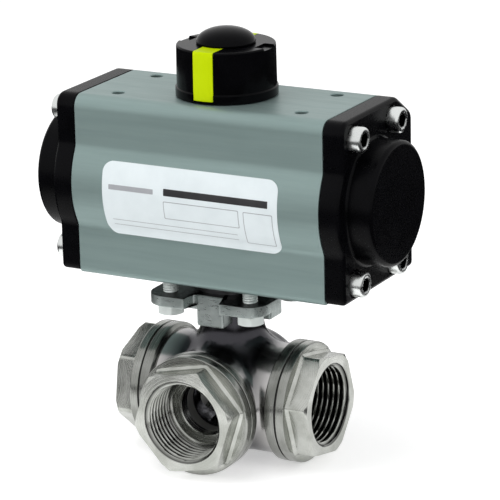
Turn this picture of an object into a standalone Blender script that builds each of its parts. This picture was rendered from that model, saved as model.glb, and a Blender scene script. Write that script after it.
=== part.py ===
"""Pneumatic three-way ball valve: a double-acting rack and pinion actuator on a three-way threaded ball valve.

The origin is where the ports' axes cross, in the middle of the ball: the pipes in the ports carry the valve.
+Z runs up the stem, +X along the cylinder, and -Y faces the front port.
Lengths are in metres and angles in degrees.
"""

import math

import bmesh
import bpy
from mathutils import Matrix, Vector

# Clearances, how far a cutter runs past what it cuts, and how finely round shapes are drawn
GAP = 0.0003
TOOTH_GAP = 0.0002
LEG_STEP = 0.00005
OVERRUN = 0.01
OVERLAP = 0.001
FAINT_STEP = 0.0005
ROUND_STEPS = 16
PISTON_STEPS = 24
DRUM_STEPS = 24
FINE_STEPS = 24
SMALL_STEPS = 12
CHANNEL_STEPS = 8
CORD_SIDES = 6

# Actuator body
BORE_DIAMETER = 0.052
BODY_LENGTH = 0.108
BODY_WALL = 0.010
FRONT_REACH = 0.0256
REAR_REACH = 0.035
BULGE_WALL = 0.004
BULGE_BLEND = 0.005
TOP_FLAT_REACH = 0.0215
REAR_SLANT_DROP = 0.009
TOP_CORNER_RADIUS = 0.005
BOTTOM_CORNER_RADIUS = 0.0018
TOP_HOLE_SPACING_X = 0.080
TOP_HOLE_SPACING_Y = 0.030
TOP_HOLE_DIAMETER = 0.005
TOP_HOLE_DEPTH = 0.008

# Air connection on the rear face
AIR_PAD_WIDTH = 0.050
AIR_PAD_HEIGHT = 0.034
AIR_PAD_DROP = 0.010
AIR_PAD_THICKNESS = 0.003
AIR_PORT_SPACING = 0.024
AIR_PORT_DIAMETER = 0.0118
AIR_PORT_DEPTH = 0.008
AIR_SCREW_SPACING_X = 0.032
AIR_SCREW_SPACING_Z = 0.024
AIR_SCREW_DIAMETER = 0.0042
AIR_SCREW_DEPTH = 0.006
AIR_CHANNEL_DIAMETER = 0.0036
AIR_CHANNEL_BITE = 0.0008
AIR_CHANNEL_WALL = 0.0065
CAP_CHANNEL_DEPTH = 0.005

# End caps
CAP_PLATE = 0.0082
CAP_DISC_DIAMETER = 0.0488
CAP_DISC_HEIGHT = 0.0109
CAP_DISC_CHAMFER = 0.0012
CAP_HOLLOW_DIAMETER = 0.040
CAP_FACE_WALL = 0.0035
CAP_BOTTOM_RISE = 0.0007
CAP_CORNER_RADIUS = 0.002
CAP_SCREW_SPACING_Y = 0.033
CAP_SCREW_SPACING_Z = 0.0566
CAP_SCREW_THREAD = 0.006
CAP_SCREW_HEAD = 0.010
CAP_SCREW_HEAD_HEIGHT = 0.006
CAP_SCREW_SINK = 0.0015
CAP_SCREW_HEX = 0.005
CAP_SCREW_HEX_DEPTH = 0.003
CAP_SCREW_REACH = 0.010
CAP_SEAL_CORD = 0.0018

# Rack and pinion
MODULE = 0.0015
TOOTH_COUNT = 12
PRESSURE_ANGLE = 25.0
ADDENDUM = 0.0012
DEDENDUM = 0.0016
TURN = 90.0
RACK_HEIGHT = 0.016
RACK_BACK = 0.0215
RACK_TIP_REACH = 0.0195
PISTON_FACE_X = 0.0235
PISTON_THICKNESS = 0.014
PISTON_DISH = 0.005
PISTON_WALL = 0.006
PISTON_SEAL_WIDTH = 0.003
PISTON_SEAL_DEPTH = 0.0026
GUIDE_RING_WIDTH = 0.004
GUIDE_RING_DEPTH = 0.0015
RACK_GUIDE_LENGTH = 0.016
RACK_GUIDE_START = 0.004
RACK_GUIDE_SINK = 0.0012
RACK_TEETH = (-2, 3)
RACK_FOOT = 0.002
SEAL_FROM_BACK = 0.0025
GUIDE_FROM_FACE = 0.002

# Pinion
PINION_LOWER_JOURNAL = 0.023
PINION_UPPER_JOURNAL = 0.017
PINION_COLLAR = 0.019
PINION_GEAR_HEIGHT = 0.019
CAM_SEAT_RISE = 0.011
CAM_FLATS = 0.0176
CAM_THICKNESS = 0.0045
CAM_HUB_DIAMETER = 0.023
CAM_LOBE_RADIUS = 0.0175
CAM_STOP_OFFSET = 0.004
BEARING_WALL = 0.0018
BEARING_FLANGE = 0.0012
BEARING_FLANGE_REACH = 0.0022
PINION_GROOVE_DEPTH = 0.00135
PINION_GROOVE_WIDTH = 0.00234
TOP_SHAFT_DIAMETER = 0.012
TOP_SHAFT_FLATS = 0.009
TOP_SHAFT_SHOULDER = 0.005
TOP_SHAFT_REACH = 0.0065
THRUST_WASHER_DIAMETER = 0.026
THRUST_WASHER_THICKNESS = 0.001
SNAP_RING_THICKNESS = 0.001
SNAP_RING_DEPTH = 0.0009
SNAP_RING_WIDTH = 0.0026
SNAP_RING_OPENING = 0.003
STAR_FLATS = 0.0114
STAR_DEPTH = 0.0145

# Travel stops
STOP_SCREW_DIAMETER = 0.006
STOP_SCREW_OFFSET = 0.0148
STOP_SCREW_NOSE = 0.001
STOP_SCREW_HEX = 0.003
STOP_SCREW_HEX_DEPTH = 0.003
STOP_NUT_FLATS = 0.010
STOP_NUT_HEIGHT = 0.005
STOP_SCREW_END = 0.043

# Position indicator
INDICATOR_FLANGE_DIAMETER = 0.0400
INDICATOR_FLANGE_HEIGHT = 0.0037
INDICATOR_DIAMETER = 0.0390
INDICATOR_TOP_DIAMETER = 0.0386
INDICATOR_HEIGHT = 0.0204
INDICATOR_EDGE = 0.0006
INDICATOR_WALL = 0.003
INDICATOR_ROOF = 0.003
INDICATOR_HUB = 0.019
STRIP_WIDTH = 0.0085
STRIP_FOOT_RISE = 0.0013
STRIP_THICKNESS = 0.0014
BLANK_SLOT_REACH = 0.0145
BLANK_SLOT_DEPTH = 0.0009
KNOB_DIAMETER = 0.0232
KNOB_HEIGHT = 0.0062
KNOB_FOOT_DIAMETER = 0.0228
KNOB_EQUATOR = 0.0005
KNOB_PLUG_DIAMETER = 0.006
INDICATOR_SCREW_THREAD = 0.005
INDICATOR_SCREW_HEAD = 0.0095
INDICATOR_SCREW_HEAD_HEIGHT = 0.003
INDICATOR_SCREW_LENGTH = 0.010
INDICATOR_SCREW_SEAT = 0.002
INDICATOR_WELL_CLEARANCE = 0.0008
INDICATOR_SCREW_HEX = 0.003
INDICATOR_SCREW_HEX_DEPTH = 0.0018

# Mounting between actuator and valve
PAD_OVER_PACKING = 0.0149
PAD_SIZE = 0.051
PAD_THICKNESS = 0.0045
PAD_CORNER_STEPS = 3
PAD_NOTCH_WIDTH = 0.0152
PAD_NOTCH_DEPTH = 0.0075
PAD_BLOCK_WIDTH = 0.0119
PAD_BLOCK_REACH = 0.0185
PAD_BLOCK_SINK = 0.0004
PAD_BLOCK_HEIGHT = 0.0128
SIDE_BLOCK_WIDTH = 0.010
SIDE_BLOCK_REACH = 0.0197
SIDE_BLOCK_HEIGHT = 0.0112
MOUNT_GAP = 0.005
MOUNT_BOLT_CIRCLE = 0.050
MOUNT_BOLT_THREAD = 0.006
MOUNT_BOLT_FLATS = 0.010
MOUNT_BOLT_HEAD_HEIGHT = 0.004
MOUNT_BOLT_ENGAGEMENT = 0.007
CENTRING_DIAMETER = 0.030
CENTRING_WALL = 0.003
CENTRING_SINK_BODY = 0.0015
CENTRING_SINK_PAD = 0.001

# Valve body
COLLAR_DIAMETER = 0.0482
PORT_FACE = 0.043
BALL_CLEARANCE = 0.001
BARREL_WALL = 0.003
BRANCH_CAVITY = 0.035
BRANCH_WALL = 0.004
BODY_RING_LENGTH = 0.004
RING_STEP_SLOPE = 0.0006
COLLAR_LENGTH = 0.0036
COLLAR_BACK = 0.0307
SEAM_WIDTH = 0.0006
PORT_SEAL_INSET = 0.0007
PORT_SEAL_GAP = 0.0001
BONNET_DIAMETER = 0.025
BONNET_FLARE = 0.0065
REAR_REACH_OF_CASTING = 0.0255
REAR_ROUNDING = 0.008

# Port caps
PORT_THREAD_BORE = 0.0303
PORT_THREAD_MOUTH = 0.0332
PORT_THREAD_DEPTH = 0.0185
PORT_FLOW_BORE = 0.021
PORT_HEX_FLATS = 0.0385
PORT_HEX_CHAMFER = 0.0412
COLLAR_CHAMFER = 0.0006
CAP_CONE_EASE = 0.0006
SPIGOT_CLEARANCE = 0.0005
PORT_HEX_TURNS = {"right": 11.0, "front": 12.0, "left": 39.0}

# Ball, seats and stem
BALL_DIAMETER = 0.036
BALL_PORT = 0.020
SEAT_OUTER_DIAMETER = 0.0304
SEAT_CONTACT_DIAMETER = 0.0248
SEAT_INNER_DIAMETER = 0.021
SEAT_SHOULDER = 0.016
SEAT_BACK = 0.0195
STEM_DIAMETER = 0.014
STEM_FOOT_DIAMETER = 0.0185
STEM_FOOT_HEIGHT = 0.003
STEM_TONGUE_WIDTH = 0.0065
STEM_TONGUE_DEPTH = 0.0042
STEM_TONGUE_LENGTH = 0.014
STEM_SQUARE = 0.0107
STEM_SQUARE_LENGTH = 0.0135
STEM_CHAMFER = 0.0006
STEM_SEAL_THICKNESS = 0.0015
PACKING_DIAMETER = 0.0196
PACKING_HEIGHT = 0.0022
PACKING_COUNT = 3
NECK_WALL = 0.0051
GLAND_HEIGHT = 0.002
DISC_SPRING_THICKNESS = 0.0009
DISC_SPRING_CONE = 0.0007
STEM_NUT_FLATS = 0.0166
STEM_NUT_HEIGHT = 0.004

# Heights and reaches that follow from the sizes above
PORT_AXIS_Z = 0.0
BARREL_BORE = BALL_DIAMETER + 2 * BALL_CLEARANCE
BARREL_DIAMETER = BARREL_BORE + 2 * BARREL_WALL
BRANCH_DIAMETER = BRANCH_CAVITY + 2 * BRANCH_WALL
PORT_SPIGOT_DIAMETER = BARREL_BORE - 2 * SPIGOT_CLEARANCE
STEM_FOOT_Z = PORT_AXIS_Z + BARREL_BORE / 2 + GAP
STEM_SHOULDER_Z = STEM_FOOT_Z + STEM_FOOT_HEIGHT
FOOT_POCKET_Z = STEM_SHOULDER_Z + GAP + STEM_SEAL_THICKNESS + GAP
PACKING_FLOOR_Z = FOOT_POCKET_Z + NECK_WALL
PAD_TOP_Z = PACKING_FLOOR_Z + PAD_OVER_PACKING
BODY_BOTTOM_Z = PAD_TOP_Z + MOUNT_GAP
BODY_HEIGHT = BORE_DIAMETER + 2 * BODY_WALL
BORE_AXIS_Z = BODY_BOTTOM_Z + BODY_HEIGHT / 2
BODY_TOP_Z = BODY_BOTTOM_Z + BODY_HEIGHT
BORE_RADIUS = BORE_DIAMETER / 2
BODY_END_X = BODY_LENGTH / 2
PITCH_RADIUS = MODULE * TOOTH_COUNT / 2

# Colours, roughness and metallic value of each finish
FINISHES = {
    "anodised_aluminium": ((0.36, 0.44, 0.42), 0.45, 0.6),
    "black_powder_coat": ((0.012, 0.012, 0.014), 0.4, 0.0),
    "cast_stainless": ((0.42, 0.41, 0.40), 0.28, 1.0),
    "machined_stainless": ((0.62, 0.61, 0.57), 0.3, 1.0),
    "bright_steel": ((0.72, 0.72, 0.72), 0.2, 1.0),
    "spring_steel": ((0.25, 0.25, 0.26), 0.35, 1.0),
    "nickel_steel": ((0.55, 0.53, 0.5), 0.3, 1.0),
    "die_cast_aluminium": ((0.6, 0.61, 0.62), 0.4, 1.0),
    "black_plastic": ((0.015, 0.015, 0.017), 0.3, 0.0),
    "yellow_plastic": ((0.67, 0.87, 0.0), 0.35, 0.0),
    "white_polymer": ((0.86, 0.86, 0.84), 0.5, 0.0),
    "black_rubber": ((0.02, 0.02, 0.02), 0.7, 0.0),
}


def clear_scene():
    """Removes what the scene holds before the model is built."""
    for item in list(bpy.data.objects):
        bpy.data.objects.remove(item, do_unlink=True)


def new_collection(name):
    collection = bpy.data.collections.new(name)
    bpy.context.scene.collection.children.link(collection)
    return collection


clear_scene()
PARTS = new_collection("three_way_ball_valve")
CUTTERS = new_collection("cutters")


def finish_material(finish, name):
    colour, roughness, metallic = FINISHES[finish]
    material = bpy.data.materials.new(name)
    material.use_nodes = True
    shader = material.node_tree.nodes["Principled BSDF"]
    shader.inputs["Base Color"].default_value = (*colour, 1.0)
    shader.inputs["Roughness"].default_value = roughness
    shader.inputs["Metallic"].default_value = metallic
    material.diffuse_color = (*colour, 1.0)
    return material


def place(item, at=(0.0, 0.0, 0.0), toward="up"):
    """Puts a shape at a point, with its own +Z pointing up or towards a side."""
    turns = {
        "up": (0.0, 0.0, 0.0),
        "right": (0.0, math.pi / 2, 0.0),
        "left": (0.0, -math.pi / 2, 0.0),
        "front": (math.pi / 2, 0.0, 0.0),
        "rear": (-math.pi / 2, 0.0, 0.0),
    }
    item.location = at
    item.rotation_euler = turns[toward]
    return item


def shape(mesh, name="shape"):
    """A working object for a mesh, kept with the cutters until it becomes a piece."""
    item = bpy.data.objects.new(name, mesh)
    CUTTERS.objects.link(item)
    return item


def turned(profile, steps=ROUND_STEPS):
    """A solid of revolution about Z, from (radius, height) points down its outer side."""
    mesh = bpy.data.meshes.new("profile")
    points = [(radius, 0.0, height) for radius, height in profile]
    closed = all(radius > 0.0 for radius, _ in profile)
    edges = [(i, i + 1) for i in range(len(points) - 1)]
    if closed:
        edges.append((len(points) - 1, 0))
    mesh.from_pydata(points, edges, [])
    item = shape(mesh)
    screw = item.modifiers.new("turn", "SCREW")
    screw.axis = "Z"
    screw.angle = 2 * math.pi
    screw.steps = steps
    screw.render_steps = steps
    screw.use_merge_vertices = True
    screw.merge_threshold = 0.00001
    return baked(item)


def baked(item):
    """The shape with its modifiers turned into its mesh."""
    bpy.context.view_layer.update()
    evaluated = item.evaluated_get(bpy.context.evaluated_depsgraph_get())
    mesh = bpy.data.meshes.new_from_object(evaluated)
    item.modifiers.clear()
    item.data = mesh
    return item


def disc(radius, low, high, steps=ROUND_STEPS):
    """A plain cylinder on Z between two heights."""
    mesh = bpy.data.meshes.new("disc")
    shape_data = bmesh.new()
    bmesh.ops.create_cone(
        shape_data, cap_ends=True, segments=steps, radius1=radius, radius2=radius, depth=high - low)
    bmesh.ops.translate(shape_data, verts=shape_data.verts, vec=(0.0, 0.0, (low + high) / 2))
    shape_data.to_mesh(mesh)
    shape_data.free()
    return shape(mesh)


def globe(radius):
    """A sphere about the origin."""
    mesh = bpy.data.meshes.new("globe")
    shape_data = bmesh.new()
    bmesh.ops.create_uvsphere(shape_data, u_segments=ROUND_STEPS, v_segments=ROUND_STEPS // 2, radius=radius)
    shape_data.to_mesh(mesh)
    shape_data.free()
    return shape(mesh)


def ring(inner, outer, low, high, steps=ROUND_STEPS):
    """A tube on Z between two heights."""
    return turned([(outer, high), (outer, low), (inner, low), (inner, high)], steps)


def cord_ring(radius, cord, height=0.0, steps=ROUND_STEPS):
    """An O-ring: a round cord bent to a circle about Z."""
    turn = [math.pi / CORD_SIDES - 2 * math.pi * i / CORD_SIDES for i in range(CORD_SIDES)]
    return turned([(radius + cord / 2 * math.cos(a), height + cord / 2 * math.sin(a)) for a in turn], steps)


def prism(outline, low, high):
    """A flat outline in X and Y, listed counter-clockwise, drawn up between two heights."""
    mesh = bpy.data.meshes.new("prism")
    shape_data = bmesh.new()
    corners = [shape_data.verts.new((x, y, low)) for x, y in outline]
    bottom = shape_data.faces.new(corners)
    drawn = bmesh.ops.extrude_face_region(shape_data, geom=[bottom])
    upper = [item for item in drawn["geom"] if isinstance(item, bmesh.types.BMVert)]
    bmesh.ops.translate(shape_data, verts=upper, vec=(0.0, 0.0, high - low))
    bmesh.ops.recalc_face_normals(shape_data, faces=shape_data.faces)
    shape_data.to_mesh(mesh)
    shape_data.free()
    return shape(mesh)


def box(low, high):
    """A block between two opposite corners."""
    mesh = bpy.data.meshes.new("box")
    shape_data = bmesh.new()
    bmesh.ops.create_cube(shape_data, size=1.0)
    size = [b - a for a, b in zip(low, high)]
    middle = [(a + b) / 2 for a, b in zip(low, high)]
    bmesh.ops.scale(shape_data, verts=shape_data.verts, vec=size)
    bmesh.ops.translate(shape_data, verts=shape_data.verts, vec=middle)
    shape_data.to_mesh(mesh)
    shape_data.free()
    return shape(mesh)


def polygon(flats, sides, turn=0.0):
    """Corners of a regular polygon by its width across flats, its first flat turned from +X by degrees."""
    radius = flats / 2 / math.cos(math.pi / sides)
    first = math.radians(turn) + math.pi / sides
    return [
        (radius * math.cos(first + 2 * math.pi * i / sides), radius * math.sin(first + 2 * math.pi * i / sides))
        for i in range(sides)
    ]


def arc(centre, radius, start, end, steps):
    """Points on a circle between two angles in degrees."""
    angles = [math.radians(start + (end - start) * i / steps) for i in range(steps + 1)]
    return [(centre[0] + radius * math.cos(a), centre[1] + radius * math.sin(a)) for a in angles]


def settled(item):
    """Writes a shape's place into its mesh."""
    bpy.context.view_layer.update()
    item.data.transform(item.matrix_world)
    item.matrix_world = Matrix.Identity(4)
    return item


def gathered(items):
    """Several shapes that stay apart, as one object."""
    shape_data = bmesh.new()
    for item in items:
        settled(item)
        shape_data.from_mesh(item.data)
        bpy.data.objects.remove(item, do_unlink=True)
    mesh = bpy.data.meshes.new("group")
    shape_data.to_mesh(mesh)
    shape_data.free()
    return shape(mesh)


def combine(item, other, operation, solver="EXACT"):
    """Joins, cuts or intersects two closed shapes. Crossing bores in a casting need the manifold solver."""
    settled(item)
    settled(other)
    boolean = item.modifiers.new("combine", "BOOLEAN")
    boolean.operation = operation
    boolean.solver = solver
    boolean.object = other
    baked(item)
    bpy.data.objects.remove(other, do_unlink=True)
    return item


def joined(item, *others, solver="EXACT"):
    for other in others:
        combine(item, other, "UNION", solver)
    return item


def cut(item, *others, solver="EXACT"):
    for other in others:
        combine(item, other, "DIFFERENCE", solver)
    return item


def piece(name, item, finish, origin=(0.0, 0.0, 0.0)):
    """A finished sub-part: its own name, material and origin, shaded smooth on its round faces."""
    settled(item)
    clean = bmesh.new()
    clean.from_mesh(item.data)
    bmesh.ops.remove_doubles(clean, verts=clean.verts, dist=0.000002)
    bmesh.ops.dissolve_degenerate(clean, edges=clean.edges, dist=0.000002)
    bmesh.ops.translate(clean, verts=clean.verts, vec=-Vector(origin))
    clean.to_mesh(item.data)
    clean.free()
    item.location = origin
    item.name = name
    item.data.name = name
    item.data.shade_smooth()
    item.data.set_sharp_from_angle(angle=math.radians(32))
    item.data.materials.clear()
    item.data.materials.append(finish_material(finish, name))
    CUTTERS.objects.unlink(item)
    PARTS.objects.link(item)
    return item


def corners_xy(spacing_x, spacing_y):
    return [(sx * spacing_x / 2, sy * spacing_y / 2) for sx in (-1, 1) for sy in (-1, 1)]


def hex_socket_screw(head, head_height, thread, reach, hexagon, hex_depth):
    """A socket head screw on Z, its head standing on height zero and its shank running down."""
    body = turned([
        (0.0, head_height), (head / 2, head_height), (head / 2, 0.0), (thread / 2, 0.0), (thread / 2, -reach),
        (0.0, -reach)], SMALL_STEPS)
    return cut(body, prism(polygon(hexagon, 6), head_height - hex_depth, head_height + OVERLAP))


def hex_head_bolt(flats, head_height, thread, reach):
    """A hexagon bolt on Z, its head hanging below height zero and its shank running up."""
    corner = flats / math.sqrt(3)
    chamfer = (corner - flats / 2) * 0.8
    head = turned([
        (0.0, 0.0), (corner + OVERLAP, 0.0), (corner + OVERLAP, chamfer - head_height),
        (flats / 2, -head_height), (0.0, -head_height)], SMALL_STEPS)
    combine(head, prism(polygon(flats, 6), -head_height - OVERLAP, OVERLAP), "INTERSECT")
    return joined(head, disc(thread / 2, -OVERLAP, reach, SMALL_STEPS))


# Actuator housing

def body_outline(bottom, corner_low):
    """The extrusion's outline in Y and Z, from the front foot round the bulge, the top and the slanted rear."""
    half = BODY_HEIGHT / 2
    bulge = BORE_RADIUS + BULGE_WALL
    away = FRONT_REACH + BULGE_BLEND
    level = math.sqrt((bulge + BULGE_BLEND) ** 2 - away ** 2)
    meet = math.degrees(math.atan2(level, away))
    slant = math.atan2(REAR_REACH - TOP_FLAT_REACH, REAR_SLANT_DROP)
    points = arc((-FRONT_REACH + corner_low, bottom + corner_low), corner_low, 270, 180, 2)
    points += arc((-away, -level), BULGE_BLEND, 0, meet, 2)
    points += arc((0.0, 0.0), bulge, 180 + meet, 180 - meet, 8)[1:-1]
    points += arc((-away, level), BULGE_BLEND, -meet, 0, 2)
    points += arc((-FRONT_REACH + TOP_CORNER_RADIUS, half - TOP_CORNER_RADIUS), TOP_CORNER_RADIUS, 180, 90, 4)
    tangent = TOP_CORNER_RADIUS * math.tan((math.pi / 2 - slant) / 2)
    points += arc((TOP_FLAT_REACH - tangent, half - TOP_CORNER_RADIUS), TOP_CORNER_RADIUS,
                  90, math.degrees(slant), 2)
    tangent = TOP_CORNER_RADIUS * math.tan(slant / 2)
    points += arc((REAR_REACH - TOP_CORNER_RADIUS, half - REAR_SLANT_DROP - tangent), TOP_CORNER_RADIUS,
                  math.degrees(slant), 0, 3)
    points += arc((REAR_REACH - corner_low, bottom + corner_low), corner_low, 0, -90, 2)
    return points


def extruded_along_x(outline, low, high):
    """An outline in Y and Z, centred on the bore, drawn along X."""
    item = prism([(y, z) for y, z in reversed(outline)], low, high)
    settled(item)
    swap = Matrix(((0, 0, 1, 0), (1, 0, 0, 0), (0, 1, 0, BORE_AXIS_Z), (0, 0, 0, 1)))
    item.data.transform(swap)
    return item


def air_face_y():
    return REAR_REACH + AIR_PAD_THICKNESS


def air_pad_z():
    return BORE_AXIS_Z - AIR_PAD_DROP


def build_actuator_body():
    half = BODY_HEIGHT / 2
    body = extruded_along_x(body_outline(-half, BOTTOM_CORNER_RADIUS), -BODY_END_X, BODY_END_X)
    pad = box(
        (-AIR_PAD_WIDTH / 2, REAR_REACH - OVERLAP, air_pad_z() - AIR_PAD_HEIGHT / 2),
        (AIR_PAD_WIDTH / 2, air_face_y(), air_pad_z() + AIR_PAD_HEIGHT / 2))
    joined(body, pad)
    cut(body, place(disc(BORE_RADIUS, -BODY_END_X - OVERRUN, BODY_END_X + OVERRUN, PISTON_STEPS),
                    (0.0, 0.0, BORE_AXIS_Z), "right"))

    upper = place(disc(upper_bearing_radius() + GAP, 0.0, half + OVERRUN), (0.0, 0.0, BORE_AXIS_Z))
    lower = place(disc(lower_bearing_radius() + GAP, -half - OVERRUN, 0.0), (0.0, 0.0, BORE_AXIS_Z))
    recess_top = BODY_BOTTOM_Z + CENTRING_SINK_BODY + GAP
    recess = disc(CENTRING_DIAMETER / 2 + GAP, BODY_BOTTOM_Z - OVERRUN, recess_top)
    cut(body, upper, lower, recess)

    top_holes = [
        place(disc(TOP_HOLE_DIAMETER / 2, -TOP_HOLE_DEPTH, OVERRUN, SMALL_STEPS), (x, y, BODY_TOP_Z))
        for x, y in corners_xy(TOP_HOLE_SPACING_X, TOP_HOLE_SPACING_Y)
    ]
    bolt_depth = MOUNT_BOLT_ENGAGEMENT + GAP
    bolt_holes = [
        place(disc(MOUNT_BOLT_THREAD / 2 + GAP, -OVERRUN, bolt_depth, SMALL_STEPS), (x, y, BODY_BOTTOM_Z))
        for x, y in mount_bolt_places()
    ]
    cap_depth = CAP_SCREW_REACH + GAP
    cap_holes = [
        place(disc(CAP_SCREW_THREAD / 2 + GAP, -OVERRUN, cap_depth, SMALL_STEPS),
              (side * BODY_END_X, y, BORE_AXIS_Z + z), toward)
        for side, toward in ((-1, "right"), (1, "left"))
        for y, z in corners_xy(CAP_SCREW_SPACING_Y, CAP_SCREW_SPACING_Z)
    ]
    air_screw_holes = [
        place(disc(AIR_SCREW_DIAMETER / 2, -OVERRUN, AIR_SCREW_DEPTH, CHANNEL_STEPS),
              (x, air_face_y(), air_pad_z() + z), "front")
        for x, z in corners_xy(AIR_SCREW_SPACING_X, AIR_SCREW_SPACING_Z)
    ]
    stop_holes = [
        place(disc(STOP_SCREW_DIAMETER / 2 + GAP, 0.0, air_face_y() + OVERRUN, SMALL_STEPS),
              (side * STOP_SCREW_OFFSET, 0.0, stop_height()), "rear")
        for side in (-1, 1)
    ]
    ports = [
        place(disc(AIR_PORT_DIAMETER / 2, -OVERRUN, AIR_PORT_DEPTH, SMALL_STEPS),
              (side * AIR_PORT_SPACING / 2, air_face_y(), air_pad_z()), "front")
        for side in (-1, 1)
    ]
    for holes in (top_holes, bolt_holes, cap_holes, air_screw_holes, stop_holes, ports):
        cut(body, gathered(holes))

    port_floor = air_face_y() - AIR_PORT_DEPTH
    inward = disc(AIR_CHANNEL_DIAMETER / 2, -OVERLAP, port_floor, CHANNEL_STEPS)
    cut(body, place(inward, (-AIR_PORT_SPACING / 2, port_floor, air_pad_z()), "front"))
    drop = disc(AIR_CHANNEL_DIAMETER / 2, -channel_drop(), 0.0, CHANNEL_STEPS)
    cut(body, place(drop, (AIR_PORT_SPACING / 2, channel_y(), air_pad_z())))
    length = BODY_END_X + OVERRUN
    channel = disc(AIR_CHANNEL_DIAMETER / 2, -length, length, CHANNEL_STEPS)
    cut(body, place(channel, (0.0, channel_y(), air_pad_z() - channel_drop()), "right"))
    piece("actuator_body", body, "anodised_aluminium")


def channel_y():
    """The lengthwise air channel runs in the rear wall, under the port it serves."""
    return air_face_y() - AIR_PORT_DEPTH - AIR_CHANNEL_DIAMETER / 2 + AIR_CHANNEL_BITE


def channel_drop():
    return AIR_PORT_DIAMETER / 2 + AIR_CHANNEL_WALL


def mount_bolt_places():
    reach = MOUNT_BOLT_CIRCLE / 2 / math.sqrt(2)
    return [(sx * reach, sy * reach) for sx in (-1, 1) for sy in (-1, 1)]


def cap_plate_faces():
    """The end cap's inner face, plate face and disc face, as distances from the stem axis along X."""
    inner = BODY_END_X + GAP
    plate = inner + CAP_PLATE
    return inner, plate, plate + CAP_DISC_HEIGHT


def build_end_cap(side):
    inner, plate, face = cap_plate_faces()
    bottom = -BODY_HEIGHT / 2 + CAP_BOTTOM_RISE
    outline = body_outline(bottom, CAP_CORNER_RADIUS)
    cap = extruded_along_x(outline, inner, plate)
    radius = CAP_DISC_DIAMETER / 2
    boss = turned([
        (0.0, face), (radius - CAP_DISC_CHAMFER, face), (radius, face - CAP_DISC_CHAMFER),
        (radius, plate - OVERLAP), (0.0, plate - OVERLAP)], FINE_STEPS)
    joined(cap, place(boss, (0.0, 0.0, BORE_AXIS_Z), "right"))
    hollow = place(disc(CAP_HOLLOW_DIAMETER / 2, 0.0, face - CAP_FACE_WALL), (0.0, 0.0, BORE_AXIS_Z), "right")
    groove = ring(
        seal_radius() - CAP_SEAL_CORD * 0.65, seal_radius() + CAP_SEAL_CORD * 0.65, inner - OVERLAP,
        inner + CAP_SEAL_CORD * 0.8)
    cut(cap, hollow, place(groove, (0.0, 0.0, BORE_AXIS_Z), "right"))
    holes = []
    for y, z in corners_xy(CAP_SCREW_SPACING_Y, CAP_SCREW_SPACING_Z):
        through = disc(CAP_SCREW_THREAD / 2 + GAP, inner - OVERRUN, plate - CAP_SCREW_SINK / 2, SMALL_STEPS)
        sink = disc(CAP_SCREW_HEAD / 2 + GAP, plate - CAP_SCREW_SINK, plate + OVERRUN, SMALL_STEPS)
        holes.append(place(joined(through, sink), (0.0, y, BORE_AXIS_Z + z), "right"))
    cut(cap, gathered(holes), *cap_channel(inner))
    if side < 0:
        mirrored(cap)
    piece("end_cap_" + side_name(side), cap, "black_powder_coat")


def cap_channel(inner):
    """The drilling that meets the body's channel, and the cross drilling from it to the cap's hollow."""
    y = channel_y()
    z = -AIR_PAD_DROP - channel_drop()
    depth = inner + CAP_CHANNEL_DEPTH
    straight = disc(AIR_CHANNEL_DIAMETER / 2, inner - OVERRUN, depth, CHANNEL_STEPS)
    cross = disc(AIR_CHANNEL_DIAMETER / 2, CAP_HOLLOW_DIAMETER / 2 - OVERLAP, math.hypot(y, z), CHANNEL_STEPS)
    cross.location = (depth, 0.0, BORE_AXIS_Z)
    cross.rotation_euler = (math.atan2(-y, z), 0.0, 0.0)
    return place(straight, (0.0, y, BORE_AXIS_Z + z), "right"), cross


def mirrored(item):
    """The same shape on the other side of the stem, with its faces still pointing out."""
    settled(item)
    item.data.transform(Matrix.Scale(-1.0, 4, (1.0, 0.0, 0.0)))
    item.data.flip_normals()
    return item


def side_name(side):
    return "right" if side > 0 else "left"


def seal_radius():
    return BORE_RADIUS + CAP_SEAL_CORD


def build_cap_seal(side):
    inner = cap_plate_faces()[0]
    seal = cord_ring(seal_radius(), CAP_SEAL_CORD * 0.9, inner + CAP_SEAL_CORD * 0.35)
    place(seal, (0.0, 0.0, BORE_AXIS_Z), side_name(side))
    piece("end_cap_seal_" + side_name(side), seal, "black_rubber")


def build_cap_screws(side):
    _, plate, _ = cap_plate_faces()
    seat = plate - CAP_SCREW_SINK + GAP
    reach = seat - (BODY_END_X - CAP_SCREW_REACH)
    for number, (y, z) in enumerate(corners_xy(CAP_SCREW_SPACING_Y, CAP_SCREW_SPACING_Z), 1):
        screw = hex_socket_screw(CAP_SCREW_HEAD, CAP_SCREW_HEAD_HEIGHT, CAP_SCREW_THREAD, reach,
                                 CAP_SCREW_HEX, CAP_SCREW_HEX_DEPTH)
        place(screw, (side * seat, y, BORE_AXIS_Z + z), side_name(side))
        piece(f"cap_screw_{side_name(side)}_{number}", screw, "bright_steel")


# Rack and pinion

def involute_angle(radius, base):
    """The polar angle that an involute of a base circle has turned through at a radius."""
    roll = math.sqrt(max((radius / base) ** 2 - 1.0, 0.0))
    return roll - math.atan(roll)


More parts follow.
